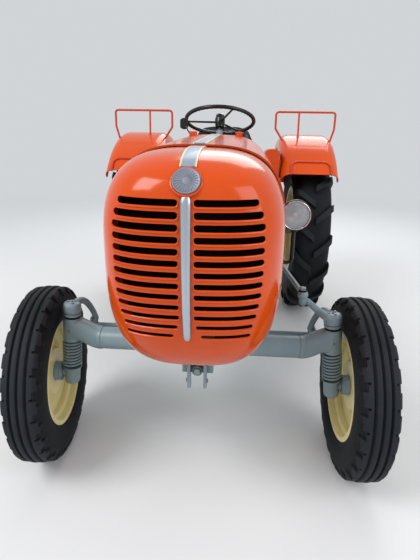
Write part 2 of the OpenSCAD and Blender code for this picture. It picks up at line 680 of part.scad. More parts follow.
module radiator() color(black) {
    // core with its tanks, narrower towards the foot
    across(seam_y + 74, 70) polygon([[-190, rad_z], [190, rad_z], [232, 690], [246, 800],
        [246, 1090], [222, 1160], [-222, 1160], [-246, 1090], [-246, 800], [-232, 690]]);
    across(seam_y + 5, 5) difference() {
        polygon([for (i = [0:71]) sec_pt(5 * i, -0.5)]);
        translate([-64, 0]) square([128, rad_z]);
    }
    for (p = [[-120, 680, 24], [0, 1040, 22]]) translate([p[0], seam_y + 73, p[1]])
        rotate([-90, 0, 0]) cylinder(h = eng_y0 - seam_y - 73, r = p[2]);
}

// running gear
module engine_block() color(grey) block(-eng_w, eng_w, eng_y0, eng_y1, eng_z0, eng_z1);
module gearbox() color(grey) {
    casting(eng_y1, bell_y1, bell_w, gb_z0 - 20, gb_z1, 40);
    casting(bell_y1 - 1, wheelbase - diff_y + 30, gb_w, gb_z0, gb_z1 - 4, 32);
    for (y = [eng_y1, bell_y1 - 14]) casting(y, y + 14, bell_w + 8, gb_z0 - 28, gb_z1 - 6, 46);
}
module rear_axle() color(grey) {
    casting(wheelbase - diff_y + 30, wheelbase + diff_y, diff_w, 430, 800, 60);
    // housing, brake drum and shaft of each side: radius, distance from the middle
    for (s = [-1, 1]) translate([0, wheelbase, rt_r]) rotate([0, s * 90, 0])
        rotate_extrude() polygon([[0, diff_w - 5], [118, diff_w - 5], [118, diff_w + 12],
            [104, diff_w + 18], [78, 400], [78, 414], [142, 418], [150, 426], [150, 462],
            [142, 470], [60, 470], [60, 478], [shaft_r, 480], [shaft_r, rear_track / 2 + 10],
            [0, rear_track / 2 + 10]]);
    for (s = [-1, 1]) block(s * (fen_x0 - 8) - 8, s * (fen_x0 - 8) + 8, wheelbase - 60,
        wheelbase + 60, 640, 860);
}
module axle_support() color(grey) {
    for (y = [-ear_y - 24, ear_y]) block(-60, 60, y, y + 24, beam_z - beam_r - 50, beam_z + 60);
    block(-60, 60, -ear_y - 24, ear_y + 24, beam_z + beam_r + 7, sup_z + 1);
    casting(ear_y + 20, eng_y0, 110, beam_z + beam_r + 7, sup_z + 40, 16);
    translate([0, -ear_y - 25, beam_z]) rotate([-90, 0, 0]) cylinder(h = 2 * ear_y + 29, r = 18);
    // tow jaw with its bolt
    for (s = [-1, 1]) side(s * 31 - 5.5, 11) polygon([[-ear_y - 25, 366], [-ear_y - 58, 372],
        [-ear_y - 66, 392], [-ear_y - 60, 500], [-ear_y - 23, 530], [-ear_y - 23, 366]]);
    translate([0, -ear_y - 44, 440]) rotate([-90, 0, 0]) cylinder(h = 44, r = 12);
}

// lamps
module lamp_at(s) { translate([s * lamp_x, lamp_y, lamp_z]) rotate([-90, 0, 0]) children(); }
module headlamp(s) color(orange) {
    lamp_at(s) rotate_extrude() polygon([[0, 96], [18, 95], [36, 88], [50, 74], [59, 54],
        [lamp_r - 3, 24], [lamp_r, 14], [lamp_r, 2], [lamp_r - 3, 0], [lamp_r - 8, 0],
        [lamp_r - 8, 8], [lamp_r - 22, 30], [20, 50], [0, 56]]);
    run([[s * lamp_x, lamp_y + 40, lamp_z - 50], [s * lamp_x, lamp_y + 40, 765],
        [s * eng_w, lamp_y + 40, 765]], 9);
}
module lamp_glasses() color([0.8, 0.85, 0.85, 0.4]) for (s = [-1, 1]) lamp_at(s)
    translate([0, 0, 2]) cylinder(h = 4, r = lamp_r - 8.2);

// rear body
function arc(c, r, a0, a1, n) = [for (i = [0:n]) let (a = a0 + (a1 - a0) * i / n)
    c + r * [cos(a), sin(a)]];
module fender(s) color(orange) mirror([s < 0 ? 1 : 0, 0, 0]) {
    k = fen_s - fen_t;
    ci = [fen_r - fen_s, fen_x0 + fen_s];
    co = [fen_r - fen_s, fen_x1 - fen_s];
    translate([0, wheelbase, rt_r]) rotate([0, 90, 0]) {
        rotate([0, 0, 90 + fen_a0]) rotate_extrude(angle = fen_a1 - fen_a0, $fn = 96) polygon(
            concat([[ci[0] - 14, fen_x0]], arc(ci, fen_s, 270, 360, 7),
                arc(co, fen_s, 0, 90, 7), [[ci[0] - 10, fen_x1]], [[ci[0] - 10, fen_x1 - fen_t]],
                arc(co, k, 90, 0, 7), arc(ci, k, 360, 270, 7), [[ci[0] - 14, fen_x0 + fen_t]]));
        // rod hoop over the front edge
        for (x = [fen_x0 + 62, fen_x1 - 58]) rotate([0, 0, 82 + fen_a1])
            rotate_extrude(angle = 7.5, $fn = 96) translate([fen_r + 3, x]) circle(6, $fn = 16);
        rotate([0, 0, 82 + fen_a1]) {
            translate([fen_r + 3, 0, fen_x0 + 62]) cylinder(h = fen_x1 - fen_x0 - 120, r = 5.6);
            for (x = [fen_x0 + 62, fen_x1 - 58]) translate([fen_r + 3, 0, x]) sphere(6.6);
        }
    }
    r = fen_r - fen_s + 1;
    side(fen_x0 + 0.5, fen_t - 1) polygon(concat(
        [for (i = [0:30]) let (a = fen_a0 + 0.5 + (fen_a1 - fen_a0 - 1) * i / 30)
            [wheelbase + r * cos(a), rt_r + r * sin(a)]],
        [[wheelbase - 545, foot_z], [wheelbase - 330, foot_z],
         [wheelbase - 250, 800], [wheelbase + 420, 840]]));
}
module rail(s) color([0.8, 0.25, 0.1]) mirror([s < 0 ? 1 : 0, 0, 0]) {
    zf = rt_r + sqrt(fen_r * fen_r - rail_y * rail_y);
    zt = rail_z - rail_r;
    k = 24;
    translate([0, wheelbase - rail_y, 0]) {
        // each end post: its foot, its bend, which way its corner turns
        for (p = [[fen_x0 + 24, fen_x0 - 30, 1], [fen_x1 - 19, fen_x1 + 4, -1]]) {
            bar([p[0], 0, zf - (p[2] > 0 ? 30 : 36)], [p[1], 0, zf + 54], rail_r, rail_r);
            ball([p[1], 0, zf + 54], rail_r + 0.5);
            bar([p[1], 0, zf + 54], [p[1], 0, zt - k + 3], rail_r, rail_r);
            translate([p[1] + p[2] * k, 0, zt - k]) rotate([90, 0, 0])
                rotate([0, 0, p[2] > 0 ? 90 : 0]) rotate_extrude(angle = 90)
                    translate([k, 0]) circle(rail_r + 0.5);
        }
        bar([fen_x0 - 33 + k, 0, zt], [fen_x1 + 7 - k, 0, zt], rail_r, rail_r);
        bar([fen_x0 + 130, 0, zf - 6], [fen_x0 + 128, 0, zt], rail_r - 1, rail_r - 1);
    }
}
module toolbox() color(orange) {
    x0 = fen_x0 - box_w - 12;
    z1 = seat_z + 237;
    across(seat_y - 100, box_l) polygon(concat([[x0, z1 - box_h], [x0 + box_w, z1 - box_h]],
        [for (a = [0:15:180]) [x0 + box_w / 2 + box_w / 2 * cos(a), z1 - 22 + 22 * sin(a)]]));
    block(x0 + box_w - 1, fen_x0, seat_y - 90 - box_l + 20, seat_y - 120, z1 - box_h + 30, z1 - 70);
}
module mirror_set() color(black) {
    bar([-141, cowl_y1 - 30, crown_z1 - 14], [-197, cowl_y1 + 60, crown_z1 + 58], 4, 4);
    translate([-197, cowl_y1 + 58, crown_z1 + 58]) rotate([-90, 0, 0]) intersection() {
        rotate_extrude() polygon([[0, 0], [26, 0], [30, 3], [30, 9], [0, 9]]);
        translate([-22, -40, -1]) cube([44, 80, 12]);
    }
}
module seat_frame() color(black) {
    // pan with a round rear, on a leaf bent like a C
    translate([0, seat_y - 40, seat_z - 6]) linear_extrude(6) intersection() {
        circle(seat_r);
        translate([-200, -170]) square([400, 500]);
    }
    r = (seat_z - 6 - gb_z1 + 4) / 2;
    c = [seat_y - 75, gb_z1 - 4 + r];
    side(-40, 80) {
        difference() {
            translate(c) circle(r);
            translate(c) circle(r - 10);
            translate(c - [0, r + 1]) square([2 * r, 2 * r + 2]);
        }
        translate([c[0] - 1, gb_z1 - 4]) square([wheelbase - diff_y + 26 - c[0], 10]);
        translate([c[0] - 1, seat_z - 16]) square([150, 10]);
    }
}
module seat_cushion() color([0.05, 0.06, 0.12])
    translate([0, seat_y - 40, seat_z]) linear_extrude(cushion_t) intersection() {
        translate([-198, -170]) square([396, 410]);
        circle(seat_r - seat_t - 8);
    }
module seat_back() color([0.05, 0.06, 0.12])
    translate([0, seat_y - 40, seat_z]) difference() {
        rotate_extrude() polygon([[seat_r - seat_t, 0], [seat_r - 6, 0], [seat_r, 60],
            [seat_r, back_h - 14], [seat_r - 10, back_h], [seat_r - seat_t + 10, back_h],
            [seat_r - seat_t, back_h - 14]]);
        // arms run down to the front
        side(-300, 600) polygon([[-400, -1], [30, -1], [46, 110], [90, 200], [150, 300],
            [190, back_h + 1], [-400, back_h + 1]]);
        // sloping shoulders
        for (s = [-1, 1]) across(400, 400) polygon([[s * 110, back_h + 1],
            [s * 170, back_h - 14], [s * 220, back_h - 50], [s * 250, back_h - 100],
            [s * 300, back_h - 180], [s * 300, back_h + 1]]);
    }
module footplates() color(black) for (s = [-1, 1])
    block(s > 0 ? gb_w : -fen_x0, s > 0 ? fen_x0 : -gb_w, bell_y1 + 20, wheelbase - 330,
        foot_z, foot_z + 6);
module levers() color(black) {
    y = seat_y - 340;
    translate([0, y, gb_z1 - 4]) rotate_extrude() polygon([[0, 0], [34, 0], [34, 10], [15, 34],
        [0, 40]]);
    bar([0, y, gb_z1 + 12], [26, y + 80, seat_z + 125], 8.5, 7.5);
    ball([26, y + 80, seat_z + 128], 20);
}
module drawbar() color(grey) difference() {
    y = wheelbase + diff_y;
    union() {
        translate([0, 0, bar_z - bar_t / 2]) linear_extrude(bar_t) {
            translate([-50, y]) square([100, bar_len - 50]);
            translate([0, y + bar_len - 50]) circle(50);
        }
        block(-72, 72, y, y + 24, bar_z - 70, bar_z + 80);
    }
    translate([0, y + bar_len - 50, bar_z - 40]) cylinder(h = 80, r = pin_hole_r);
}
module pto_shaft() color(bright) translate([0, wheelbase + diff_y, bar_z + 175])
    rotate([-90, 0, 0]) cylinder(h = 90, r = pto_r);
module rear_lamps() color([0.6, 0.05, 0.05]) for (s = [-1, 1])
    translate([s * (fen_x1 + fen_x0) / 2, wheelbase, rt_r]) rotate([-30, 0, 0])
        translate([0, 0, fen_r + 0.2]) rotate_extrude() polygon([[0, 0], [30, 0], [30, 24],
            [24, 30], [0, 32]]);

place() engine_block();
place() gearbox();
place() rear_axle();
place() axle_support();
place() front_axle();
place() spring(1);  // spring_left
place() spring(-1);  // spring_right
place() knuckle(1);  // knuckle_left
place() knuckle(-1);  // knuckle_right
place() color(cream) steered_side(1) front_rim(1);  // front_rim_left
place() color(cream) steered_side(-1) front_rim(-1);  // front_rim_right
place() color(black) steered_side(1) front_tyre(1);  // front_tyre_left
place() color(black) steered_side(-1) front_tyre(-1);  // front_tyre_right
place() color(cream) rear_rim(1);  // rear_rim_left
place() color(cream) rear_rim(-1);  // rear_rim_right
place() color(black) rear_tyre(1);  // rear_tyre_left
place() color(black) rear_tyre(-1);  // rear_tyre_right
place() tie_rod();
place() drag_link();
place() pitman_arm();
place() steering_column();
place() steering_wheel();
place() radiator();
place() nose();
place() nose_trim();
place() hood();
place() hood_strip();
place() cowl();
place() headlamp(1);  // headlamp_left
place() headlamp(-1);  // headlamp_right
place() lamp_glasses();
place() fender(1);  // fender_left
place() fender(-1);  // fender_right
place() rail(1);  // rail_left
place() rail(-1);  // rail_right
place() toolbox();
place() mirror_set();  // mirror
place() seat_frame();
place() seat_cushion();
place() seat_back();
place() footplates();
place() levers();
place() drawbar();
place() pto_shaft();
place() rear_lamps();
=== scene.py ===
import bpy
import bmesh
import json
import math
from mathutils import Matrix, Vector


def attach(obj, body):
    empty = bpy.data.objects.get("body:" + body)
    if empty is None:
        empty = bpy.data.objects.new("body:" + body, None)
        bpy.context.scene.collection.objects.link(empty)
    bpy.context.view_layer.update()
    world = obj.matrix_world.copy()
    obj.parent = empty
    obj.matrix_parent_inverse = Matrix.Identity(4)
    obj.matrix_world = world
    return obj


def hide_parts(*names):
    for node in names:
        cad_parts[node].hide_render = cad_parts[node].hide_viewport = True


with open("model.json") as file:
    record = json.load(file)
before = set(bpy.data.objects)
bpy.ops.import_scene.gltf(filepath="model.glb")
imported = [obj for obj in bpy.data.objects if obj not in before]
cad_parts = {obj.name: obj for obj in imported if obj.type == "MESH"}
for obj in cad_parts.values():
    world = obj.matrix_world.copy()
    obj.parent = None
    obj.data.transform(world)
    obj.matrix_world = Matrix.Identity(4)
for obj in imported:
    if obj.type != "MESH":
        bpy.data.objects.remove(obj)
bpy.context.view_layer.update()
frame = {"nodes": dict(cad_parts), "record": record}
NODES = frame["nodes"]


# colours and material nodes
def linear(h):
    """Linear RGBA of an sRGB hex colour."""
    out = []
    for i in (1, 3, 5):
        c = int(h[i:i + 2], 16) / 255
        out.append(c / 12.92 if c <= 0.04045 else ((c + 0.055) / 1.055) ** 2.4)
    return (*out, 1.0)


def new_mat(name):
    """Empty node material and its tree."""
    m = bpy.data.materials.new(name)
    m.use_nodes = True
    m.node_tree.nodes.clear()
    return m, m.node_tree


def add(tree, kind, inputs=(), **props):
    """One node with its properties and inputs set; an input may be a socket."""
    n = tree.nodes.new(kind)
    for k, v in props.items():
        setattr(n, k, v)
    for k, v in dict(inputs).items():
        if isinstance(v, bpy.types.NodeSocket):
            tree.links.new(v, n.inputs[k])
        else:
            n.inputs[k].default_value = v
    return n


def finish_mat(m, tree, shader):
    """Join the shader to the material's output."""
    add(tree, "ShaderNodeOutputMaterial", {"Surface": shader.outputs[0]})
    return m


def ramp(tree, fac, stops):
    """Colour ramp with the given (place, colour) stops."""
    n = add(tree, "ShaderNodeValToRGB", {"Fac": fac})
    e = n.color_ramp.elements
    while len(e) < len(stops):
        e.new(0.5)
    for i, (p, c) in enumerate(stops):
        e[i].position = p
        e[i].color = c if len(c) == 4 else (*c, 1.0)
    return n


def per_mm(size):
    """Texture scale for a pattern whose repeat is size millimetres."""
    return 1000.0 / size


# a Mix node's colour sockets
MIX_A, MIX_B, MIXED = 6, 7, 2
NO, YES = (0, 0, 0), (1, 1, 1)
# colour of the painted shade that darkens the paints where faces meet
CORNER_SHADE_COLOUR = linear("#2A2520")


def paint(name, base, dark, rough=0.25, coat=0.1, corner_shade_amount=0.25):
    """Sprayed enamel on sheet or casting: even colour that drifts over 300 mm, a faint
    orange peel of 9 mm, rougher specks of 4 mm, and painted shade that darkens it where faces
    meet."""
    m, t = new_mat(name)
    co = add(t, "ShaderNodeTexCoord").outputs["Object"]
    big = add(t, "ShaderNodeTexNoise", {"Vector": co, "Scale": per_mm(300), "Detail": 4.0})
    fine = add(t, "ShaderNodeTexNoise", {"Vector": co, "Scale": per_mm(4), "Detail": 3.0})
    peel = add(t, "ShaderNodeTexNoise", {"Vector": co, "Scale": per_mm(9), "Detail": 1.0})
    tone = ramp(t, big.outputs[0], [(0.35, linear(dark)), (0.62, linear(base))])
    speck = ramp(t, fine.outputs[0], [(0.45, NO), (0.75, YES)])
    # painted shade: occlusion finds the corners and the places where parts meet, and the colour is
    # darkened there
    ao = add(t, "ShaderNodeAmbientOcclusion", {"Distance": 0.03})
    low = ramp(t, ao.outputs["AO"], [(0.35, YES), (0.9, NO)])
    corner_shade_mix = add(t, "ShaderNodeMix", {"Factor": corner_shade_amount, MIX_A: (*NO, 1), MIX_B: low.outputs[0]},
               data_type="RGBA")
    colour = add(t, "ShaderNodeMix", {"Factor": corner_shade_mix.outputs[MIXED], MIX_A: tone.outputs[0],
                                      MIX_B: CORNER_SHADE_COLOUR}, data_type="RGBA")
    gloss = add(t, "ShaderNodeMapRange", {"Value": speck.outputs[0], "To Min": rough,
                                          "To Max": rough + 0.05})
    bump = add(t, "ShaderNodeBump", {"Height": peel.outputs[0], "Strength": 0.03,
                                     "Distance": 0.0002})
    s = add(t, "ShaderNodeBsdfPrincipled", {
        "Base Color": colour.outputs[MIXED], "Roughness": gloss.outputs[0], "Coat Weight": coat,
        "Coat Roughness": 0.08, "Specular IOR Level": 0.28, "Normal": bump.outputs[0]})
    return finish_mat(m, t, s)


def rubber(name, base, dusty):
    """Moulded rubber: dull black, dusty in patches of 160 mm, with a 3 mm grain."""
    m, t = new_mat(name)
    co = add(t, "ShaderNodeTexCoord").outputs["Object"]
    big = add(t, "ShaderNodeTexNoise", {"Vector": co, "Scale": per_mm(160), "Detail": 6.0})
    fine = add(t, "ShaderNodeTexNoise", {"Vector": co, "Scale": per_mm(3), "Detail": 4.0})
    tone = ramp(t, big.outputs[0], [(0.4, linear(base)), (0.72, linear(dusty))])
    bump = add(t, "ShaderNodeBump", {"Height": fine.outputs[0], "Strength": 0.25,
                                     "Distance": 0.0006})
    gloss = add(t, "ShaderNodeMapRange", {"Value": big.outputs[0], "To Min": 0.58,
                                          "To Max": 0.8})
    s = add(t, "ShaderNodeBsdfPrincipled", {
        "Base Color": tone.outputs[0], "Roughness": gloss.outputs[0],
        "Normal": bump.outputs[0], "Specular IOR Level": 0.22})
    return finish_mat(m, t, s)


def metal(name, colour, rough):
    """Bare or plated metal: its gloss is blurred in patches of 7 mm, as wiping leaves it."""
    m, t = new_mat(name)
    co = add(t, "ShaderNodeTexCoord").outputs["Object"]
    fine = add(t, "ShaderNodeTexNoise", {"Vector": co, "Scale": per_mm(7), "Detail": 5.0})
    gloss = add(t, "ShaderNodeMapRange", {"Value": fine.outputs[0], "To Min": rough * 0.7,
                                          "To Max": rough * 1.4})
    s = add(t, "ShaderNodeBsdfPrincipled", {
        "Base Color": linear(colour), "Metallic": 1.0, "Roughness": gloss.outputs[0]})
    return finish_mat(m, t, s)


def glass(name):
    """Pressed lamp glass, thin and clear: it shows what lies behind and a sharp highlight."""
    m, t = new_mat(name)
    co = add(t, "ShaderNodeTexCoord").outputs["Object"]
    flutes = add(t, "ShaderNodeTexWave", {"Vector": co, "Scale": per_mm(38)},
                 bands_direction="X")
    bump = add(t, "ShaderNodeBump", {"Height": flutes.outputs[0], "Strength": 0.3,
                                     "Distance": 0.001})
    s = add(t, "ShaderNodeBsdfPrincipled", {
        "Base Color": linear("#AFC0CC"), "Roughness": 0.04, "Alpha": 0.24,
        "Specular IOR Level": 0.9, "IOR": 1.5, "Normal": bump.outputs[0]})
    return finish_mat(m, t, s)


MAT = {
    # pressed sheet, sprayed and oven-dried: strong even orange with soft wide highlights
    "orange": paint("orange_enamel", "#CD490A", "#C4440A", rough=0.15, coat=0.06),
    # castings and axle, brushed enamel: flat grey with painted shade in the corners
    "grey": paint("grey_enamel", "#84969B", "#778A90", rough=0.34, coat=0.05, corner_shade_amount=0.5),
    # pressed wheel discs: pale cream, a little chalky
    "cream": paint("cream_enamel", "#E3D79C", "#D8CB8E", rough=0.32, coat=0.08, corner_shade_amount=0.35),
    # bent round bar, thinly painted: redder and duller than the sheet
    "rail": paint("red_orange_enamel", "#BF3E1E", "#B2381B", rough=0.3, coat=0.08),
    # dash, footplates and column, sprayed gloss black gone semi-matt: dark with a soft sheen
    "black": paint("black_enamel", "#17181B", "#111215", rough=0.35, coat=0.1, corner_shade_amount=0.1),
    # tyre walls: blue-black, dull, dust in the low places
    "rubber": rubber("tyre_rubber", "#0A0D12", "#12171D"),
    # where the tread meets the ground it is scrubbed paler
    "tread": rubber("scrubbed_rubber", "#191D22", "#24282D"),
    # polished trim gone a little soft: pale, with wide highlights
    "bright": metal("polished_aluminium", "#B4BCC4", 0.34),
    # cast badge, matt from weather: reads as a dark plain disc
    "satin": metal("weathered_aluminium", "#80848F", 0.5),
    # painted stripe down the hood: silver-grey paint that doesn't mirror the sky, so the sky's
    # reflection is painted in as its cool blue tint
    "band": paint("silver_enamel_sky_tint", "#8593A3", "#7B899A", rough=0.3, coat=0.15, corner_shade_amount=0.1),
    # plated rims and nuts: hard bright glints
    "chrome": metal("chrome_plate", "#DADCDE", 0.08),
    # silvered bowl, slightly blurred: bright all over
    "silver": metal("silvered_bowl", "#EEF1F4", 0.22),
    # looking glass: a clear reflection
    "mirror": metal("silvered_glass", "#E4E6E8", 0.03),
    # thin lines beside the stripe: warm off-white, flat
    "ivory": paint("ivory_enamel", "#D6CBA0", "#CBC096", rough=0.35, coat=0.1, corner_shade_amount=0.1),
    # cord covered in vinyl: a slightly lighter line than the seat
    "piping": paint("piping_vinyl", "#1B1E28", "#141720", rough=0.45, coat=0.0, corner_shade_amount=0.0),
    # bulb glass: milky white, no detail inside
    "frosted": paint("frosted_glass", "#E8E6DC", "#DFDDD3", rough=0.3, coat=0.2, corner_shade_amount=0.0),
    # bare rods and shafts: grey metal with a dull glint
    "steel": metal("ground_steel", "#A9ABAD", 0.3),
    # headlamp glass: the bowl shows through under one glint
    "glass": glass("pressed_glass"),
    # moulded knobs and wheel rim: near black, glossy from the hand
    "phenolic": paint("black_phenolic", "#101113", "#0C0D0F", rough=0.25, coat=0.3, corner_shade_amount=0.0),
    # seat cover: dark blue-grey with a waxy sheen
    "vinyl": paint("dark_vinyl", "#15171F", "#101219", rough=0.4, coat=0.1, corner_shade_amount=0.1),
    # radiator behind the slots: its black core made near black as painted shade, so that only the
    # openings read
    "core": rubber("radiator_core", "#040405", "#080809"),
    # rear lamp lenses: deep red, wet looking
    "red": paint("red_lens_plastic", "#A81812", "#98140F", rough=0.2, coat=0.5, corner_shade_amount=0.0),
}
# the record's material slot that each finish belongs to
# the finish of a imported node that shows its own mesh, by its slot
BY_SLOT = {
    "grey_paint": "grey", "cream_paint": "cream", "tyre_rubber": "rubber",
    "orange_paint": "orange", "rail_paint": "rail", "aluminium": "bright",
    "black_plastic": "phenolic", "black_paint": "black", "seat_cover": "vinyl",
    "steel": "steel", "glass": "glass", "red_plastic": "red",
}


def set_mat(ob, mat):
    """Put one material on the whole object."""
    for s in ob.material_slots:
        s.material = mat
    if not ob.material_slots:
        ob.data.materials.append(mat)


BODY = {n: b for b, names in frame["record"]["behaviour"]["bodies"].items() for n in names}
for sub in frame["record"]["subparts"]:
    # the radiator takes the near-black finish that paints the shade behind the slots
    finish = "core" if sub["node"] == "radiator" else BY_SLOT[sub["material_slot"]]
    set_mat(NODES[sub["node"]], MAT[finish])


# mesh building
# The tractor's measures are millimetres, with y from the front axle; mm() turns them into
# the frame's metres. Lathe profiles are (radius, height) in millimetres.
MM = 0.001
YF = -1.01802034
# wheelbase, height of the rear wheels' axis, front tyre's radius
WB, REAR_Z, FT_R = 1834.0, 612.0, 355.0
SIDES = ((1, "left"), (-1, "right"))


def mm(x, y, z):
    """Point in the frame."""
    return Vector((x * MM, y * MM + YF, z * MM))


def flat(pts):
    """Millimetre outline as metres."""
    return [(a * MM, b * MM) for a, b in pts]


def arc(x, z, r, angles):
    """Points of an arc about (x, z), at angles in degrees."""
    return [(x + r * math.cos(math.radians(a)), z + r * math.sin(math.radians(a)))
            for a in angles]


def side_plane(x, y=0.0, z=0.0):
    """Matrix for an outline drawn in y and z, laid across x and pushed along it."""
    return Matrix(((0, 0, 1, x * MM), (1, 0, 0, y * MM + YF), (0, 1, 0, z * MM), (0, 0, 0, 1)))


def quads(rows, n, loop=False, ring=True):
    """Faces between neighbouring rows of n points. loop joins the last row to the first one,
    ring joins each row's ends."""
    out = []
    for i in range(rows if loop else rows - 1):
        a, b = i * n, (i + 1) % rows * n
        for j in range(n if ring else n - 1):
            k = (j + 1) % n
            out.append((a + j, a + k, b + k, b + j))
    return out


def caps(rows, n):
    """The first and the last row as end faces."""
    return [tuple(range(n)), tuple(range((rows - 1) * n, rows * n))]


def walls(outer, inner):
    """Closed sheet between two equal grids of points: its points and faces."""
    k, n = len(outer), len(outer[0])
    verts = [p for r in outer for p in r] + [p for r in inner for p in r]
    o = k * n
    faces = []
    for i in range(k - 1):
        for j in range(n - 1):
            a, b = i * n + j, (i + 1) * n + j
            faces += [(a, a + 1, b + 1, b), (o + a, o + b, o + b + 1, o + a + 1)]
    for i in range(k - 1):
        for j in (0, n - 1):
            a, b = i * n + j, (i + 1) * n + j
            faces.append((a, b, o + b, o + a))
    for i in (0, k - 1):
        for j in range(n - 1):
            a = i * n + j
            faces.append((a, a + 1, o + a + 1, o + a))
    return verts, faces


def at(p, axis=(0, 0, 1), up=(0, 0, 1)):
    """Matrix at p whose z runs along axis."""
    z = Vector(axis).normalized()
    x = Vector(up).cross(z)
    if x.length < 1e-5:
        x = Vector((1, 0, 0)) if abs(z.x) < 0.9 else Vector((0, 1, 0))
        x = x - z * x.dot(z)
    x.normalize()
    y = z.cross(x)
    return Matrix(((x.x, y.x, z.x, p[0]), (x.y, y.y, z.y, p[1]), (x.z, y.z, z.z, p[2]),
                   (0, 0, 0, 1)))


class Geo:
    """Collects closed surfaces into one mesh, in metres."""

    def __init__(self):
        self.v, self.f = [], []

    def add(self, verts, faces, m=None):
        """Points and faces, moved by m."""
        k = len(self.v)
        self.v += [m @ Vector(p) if m else Vector(p) for p in verts]
        self.f += [tuple(i + k for i in f) for f in faces]
        return self

    def lathe(self, prof, m, n=48, scale=MM):
        """Profile of (radius, height) turned about m's z; it starts and ends on the axis."""
        verts, faces, rows = [], [], []
        for r, h in prof:
            k = len(verts)
            if r < 1e-6:
                rows.append([k] * n)
                verts.append((0, 0, h * scale))
            else:
                rows.append([k + i for i in range(n)])
                verts += [(r * scale * math.cos(2 * math.pi * i / n),
                           r * scale * math.sin(2 * math.pi * i / n), h * scale)
                          for i in range(n)]
        for a, b in zip(rows, rows[1:]):
            for i in range(n):
                j = (i + 1) % n
                q = [a[i], a[j], b[j], b[i]]
                q = [c for k, c in enumerate(q) if c != q[k - 1]]
                if len(q) > 2:
                    faces.append(q)
        return self.add(verts, faces, m)

    def ring(self, prof, m, n=64):
        """Closed profile turned about m's z."""
        return self.lathe(list(prof) + [prof[0]], m, n)

    def tube(self, pts, r, n=12, closed=False):
        """Round bar along the points; r is one radius or one for each point."""
        pts = [Vector(p) for p in pts]
        k = len(pts)
        rad = r if isinstance(r, (list, tuple)) else [r] * k
        tan = []
        for i in range(k):
            a = pts[i - 1] if i or closed else pts[0]
            b = pts[(i + 1) % k] if i < k - 1 or closed else pts[-1]
            tan.append((b - a).normalized())
        x = tan[0].orthogonal().normalized()
        verts = []
        for i in range(k):
            x = (x - tan[i] * x.dot(tan[i])).normalized()
            y = tan[i].cross(x)
            verts += [pts[i] + (x * math.cos(2 * math.pi * j / n)
                                + y * math.sin(2 * math.pi * j / n)) * rad[i] for j in range(n)]
        return self.add(verts, quads(k, n, loop=closed) + ([] if closed else caps(k, n)))

    def prism(self, poly, h, m=None):
        """Flat outline pushed along z."""
        n = len(poly)
        verts = [(*p, 0) for p in poly] + [(*p, h) for p in poly]
        return self.add(verts, caps(2, n) + quads(2, n), m)

    def box(self, lo, hi, m=None):
        """Block between two corners."""
        x0, y0, z0 = lo
        x1, y1, z1 = hi
        base = Matrix.Translation((0, 0, z0))
        return self.prism([(x0, y0), (x1, y0), (x1, y1), (x0, y1)], z1 - z0,
                          m @ base if m else base)

    def bolt(self, p, axis, r, h, washer=True):
        """Hexagon head of radius r and height h, with a washer under it."""
        m = at(p, axis)
        if washer:
            self.lathe([(0, 0), (r * 1.35, 0), (r * 1.35, r * 0.16), (0, r * 0.16)], m, 24, 1)
        c = r * 0.12
        return self.lathe([(0, 0), (r, 0), (r, h - c), (r - c, h), (0, h)], m, 6, 1)

    def bolt_ring(self, m, count, radius, z, start, r, h, washer=True):
        """Bolts on a circle about m's z, the first at the angle start."""
        up = m.to_3x3() @ Vector((0, 0, 1))
        for k in range(count):
            a = 2 * math.pi * k / count + start
            p = m @ Vector((radius * math.cos(a), radius * math.sin(a), z))
            self.bolt(p, up, r, h, washer)
        return self

    def make(self, name, mat, body, angle=38, bevel=0.0):
        """Object on its body; edges sharper than angle (degrees) stay hard."""
        me = bpy.data.meshes.new(name)
        me.from_pydata([tuple(p) for p in self.v], [], self.f)
        bm = bmesh.new()
        bm.from_mesh(me)
        bmesh.ops.remove_doubles(bm, verts=bm.verts, dist=1e-6)
        bmesh.ops.recalc_face_normals(bm, faces=bm.faces)
        if bevel:
            e = [e for e in bm.edges if len(e.link_faces) == 2
                 and e.calc_face_angle(0) > math.radians(30)]
            bmesh.ops.bevel(bm, geom=e, offset=bevel, segments=2, profile=0.6, affect="EDGES",
                            clamp_overlap=True)
        bm.to_mesh(me)
        bm.free()
        me.materials.append(MAT[mat])
        me.shade_smooth()
        me.set_sharp_from_angle(angle=math.radians(angle))
        ob = bpy.data.objects.new(name, me)
        bpy.context.collection.objects.link(ob)
        if body:
            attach(ob, body)
        return ob


def applied(ob):
    """Work the object's modifiers into its mesh, take them off, and give the mesh."""
    dep = bpy.context.evaluated_depsgraph_get()
    me = bpy.data.meshes.new_from_object(ob.evaluated_get(dep))
    ob.modifiers.clear()
    ob.data = me
    return me


def curve(pts, per=5):
    """Smooth curve through the points, with per steps between two of them."""
    out = []
    n = len(pts)
    for i in range(n - 1):
        p = [pts[max(i - 1, 0)], pts[i], pts[i + 1], pts[min(i + 2, n - 1)]]
        for j in range(per):
            t = j / per
            out.append(tuple(0.5 * (2 * b + (c - a) * t + (2 * a - 5 * b + 4 * c - d) * t * t
                                    + (3 * b - a - 3 * c + d) * t ** 3)
                             for a, b, c, d in zip(*p)))
    out.append(tuple(pts[-1]))
    return out


JOINT = {j["name"]: j for j in frame["record"]["behaviour"]["joints"]}


def wheel(end, side):
    """Matrix at a wheel's centre, z outwards, and the name of its body."""
    s = 1 if side == "left" else -1
    body = "wheel_%s_%s" % (end, side)
    return at(JOINT[body]["pos_m"], Vector(JOINT[body]["axis"]) * s), body


